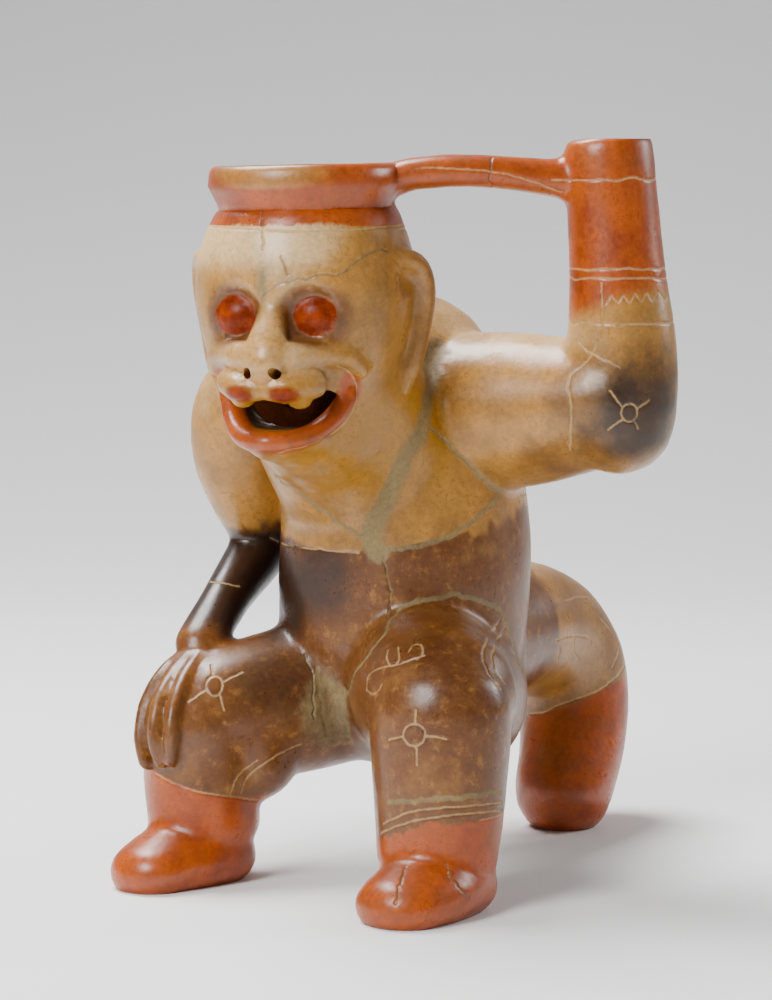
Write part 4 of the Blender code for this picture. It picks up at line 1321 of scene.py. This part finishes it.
class VESSEL_OT_hollow(bpy.types.Operator):
    """Thin the skin's facets, set the mouth on the head, and hollow the body, the mouth and the spout"""
    bl_idname = "vessel.hollow"
    bl_label = "Hollow the vessel"

    def execute(self, context):
        made = vessel()
        spots = coords(made) / SHARE
        head = in_head(spots)
        kept = numpy.ones(len(spots))
        kept[(head[:, 1] > 5) & (head[:, 2] > 57) & (head[:, 2] < 83)] = FACE_WEIGHT
        kept[patch(spots, KNEE, (12, 12, 12), 0.02) * (spots[:, 1] < -18) > 0.5] = FACE_WEIGHT
        kept[line_distances(made, WORKED["lines"], tuple(LINE_KINDS)) < LINE_REACH] = 0.0
        thinned(made, sizes().triangles, kept)
        axis = (HEAD_X * SHARE, HEAD_Y * SHARE)
        combined(made, part_of("crown", turned, crown_profile(), *axis), "UNION")
        core = pressed(part_of("core", core_limbs), CORE_GRAIN, CORE_ROUNDS)
        thinned(core, sizes().core_triangles)
        combined(core, part_of("crown_bore", turned, crown_bore(), *axis), "UNION")
        combined(core, part_of("spout_bore", spout_bore), "UNION")
        combined(made, core, "DIFFERENCE")
        combined(made, part_of("nostril_cutters", nostril_cutters), "DIFFERENCE")
        combined(made, part_of("level_cutters", level_cutters), "DIFFERENCE")
        if len(made.data.vertices) < LEAST_VERTICES:
            raise RuntimeError("the vessel was lost when it was hollowed")
        return {"FINISHED"}


class VESSEL_OT_slip(bpy.types.Operator):
    """Lay the slips, the smoke clouds and the filler on the clay, and set the vessel in its place"""
    bl_idname = "vessel.slip"
    bl_label = "Lay on the slip"

    def execute(self, context):
        made = vessel()
        shape = bmesh.new()
        shape.from_mesh(made.data)
        bmesh.ops.triangulate(shape, faces=shape.faces)
        bmesh.ops.dissolve_degenerate(shape, dist=1e-6, edges=shape.edges)
        shape.to_mesh(made.data)
        shape.free()
        layers = slip_layers(made, WORKED["lines"])
        for name, values in layers.items():
            layer = made.data.attributes.new(name, "FLOAT", "POINT")
            layer.data.foreach_set("value", values.astype(numpy.float32))
        made.data.materials.clear()
        made.data.materials.append(painted_clay("burnished_clay", BURNISHED_GLOSS))
        made.data.materials.append(painted_clay("unburnished_slip", UNBURNISHED_GLOSS))
        unburnished = layers["deep_red_slip"] > UNBURNISHED_FROM
        smooth_faces(made)
        for face in made.data.polygons:
            face.material_index = int(all(unburnished[corner] for corner in face.vertices))
        made.data.set_sharp_from_angle(angle=SHARP_ANGLE)
        spots = coords(made)
        middle = (spots.min(axis=0) + spots.max(axis=0)) / 2
        target = (CAD_LOW + CAD_HIGH) / 2
        move = Vector((target.x - middle[0], target.y - middle[1], -float(spots[:, 2].min())))
        made.data.transform(Matrix.Translation(move))
        WORKED["move"] = move
        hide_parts("effigy_vessel")
        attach(made, "root")
        return {"FINISHED"}


def pale_sweep(shape):
    """A floor that curves up behind the vessel, square to the camera's sight."""
    away = Vector((-math.sin(CAMERA_TURN), math.cos(CAMERA_TURN), 0))
    right = camera_right()
    profile = [(-SWEEP_REACH, 0.0), (-SWEEP_START, 0.0)]
    for step in range(13):
        turn = math.radians(7.5 * step)
        profile.append((SWEEP_START + SWEEP_BEND * math.sin(turn), SWEEP_BEND * (1 - math.cos(turn))))
    profile.append((SWEEP_START + SWEEP_BEND, SWEEP_TOP))
    sides = (-SWEEP_REACH, SWEEP_REACH)
    rows = [[shape.verts.new(away * reach + right * side + Vector((0, 0, up))) for side in sides]
            for reach, up in profile]
    for near, far in zip(rows, rows[1:]):
        shape.faces.new((near[0], near[1], far[1], far[0]))


class VESSEL_OT_stage(bpy.types.Operator):
    """Set the floor, the soft lights and the camera"""
    bl_idname = "vessel.stage"
    bl_label = "Set the stage"

    def execute(self, context):
        look = context.scene.vessel_stage
        floor = part_of("floor", pale_sweep)
        smooth_faces(floor)
        floor.data.materials.append(plain_material("floor", look.floor, 0.7))

        world = bpy.data.worlds.new("surround")
        world.use_nodes = True
        world.node_tree.nodes["Background"].inputs["Color"].default_value = (1.0, 1.0, 1.0, 1.0)
        world.node_tree.nodes["Background"].inputs["Strength"].default_value = look.surround
        context.scene.world = world

        middle = (0.0, 0.0, 0.5 * HEIGHT)
        soft_light("key", (-0.62, 0.05, 1.4), middle, 0.8, look.key_power)
        soft_light("front", (-0.22, -1.55, 1.15), middle, 0.75, look.front_power)
        soft_light("side", (1.0, 1.1, 0.8), middle, 0.6, look.side_power)

        lens = bpy.data.cameras.new("camera")
        lens.sensor_width = 36.0
        lens.lens = lens.sensor_width * SIGHT_LENGTH / PICTURE_HEIGHT
        lens.clip_start = 0.05
        lens.clip_end = 40.0
        camera = bpy.data.objects.new("camera", lens)
        context.scene.collection.objects.link(camera)
        ahead = sight(PICTURE_WIDTH / 2, PICTURE_HEIGHT / 2)
        right = camera_right()
        turn = Matrix((right, right.cross(ahead), -ahead)).transposed()
        camera.location = CAMERA_SPOT + WORKED["move"]
        camera.rotation_mode = "QUATERNION"
        camera.rotation_quaternion = turn.to_quaternion()
        context.scene.camera = camera
        return {"FINISHED"}


class VESSEL_PT_panel(bpy.types.Panel):
    """Lists the steps that make the vessel"""
    bl_idname = "VESSEL_PT_panel"
    bl_label = "Effigy vessel"
    bl_space_type = "VIEW_3D"
    bl_region_type = "UI"
    bl_category = "Vessel"

    def draw(self, context):
        for step in STEPS:
            self.layout.operator(step.bl_idname)
        for group in (context.scene.vessel_sizes, context.scene.vessel_colours, context.scene.vessel_stage):
            box = self.layout.box()
            for name in group.__annotations__:
                box.prop(group, name)


STEPS = (VESSEL_OT_press, VESSEL_OT_engrave, VESSEL_OT_hollow, VESSEL_OT_slip, VESSEL_OT_stage)
GROUPS = (VesselSizes, VesselColours, VesselStage)


def register():
    for group in (*GROUPS, *STEPS, VESSEL_PT_panel):
        bpy.utils.register_class(group)
    bpy.types.Scene.vessel_sizes = PointerProperty(type=VesselSizes)
    bpy.types.Scene.vessel_colours = PointerProperty(type=VesselColours)
    bpy.types.Scene.vessel_stage = PointerProperty(type=VesselStage)


def unregister():
    del bpy.types.Scene.vessel_sizes
    del bpy.types.Scene.vessel_colours
    del bpy.types.Scene.vessel_stage
    for group in reversed((*GROUPS, *STEPS, VESSEL_PT_panel)):
        bpy.utils.unregister_class(group)


def main():
    register()
    bpy.ops.vessel.press()
    bpy.ops.vessel.engrave()
    bpy.ops.vessel.hollow()
    bpy.ops.vessel.slip()
    bpy.ops.vessel.stage()


if __name__ == "__main__":
    main()
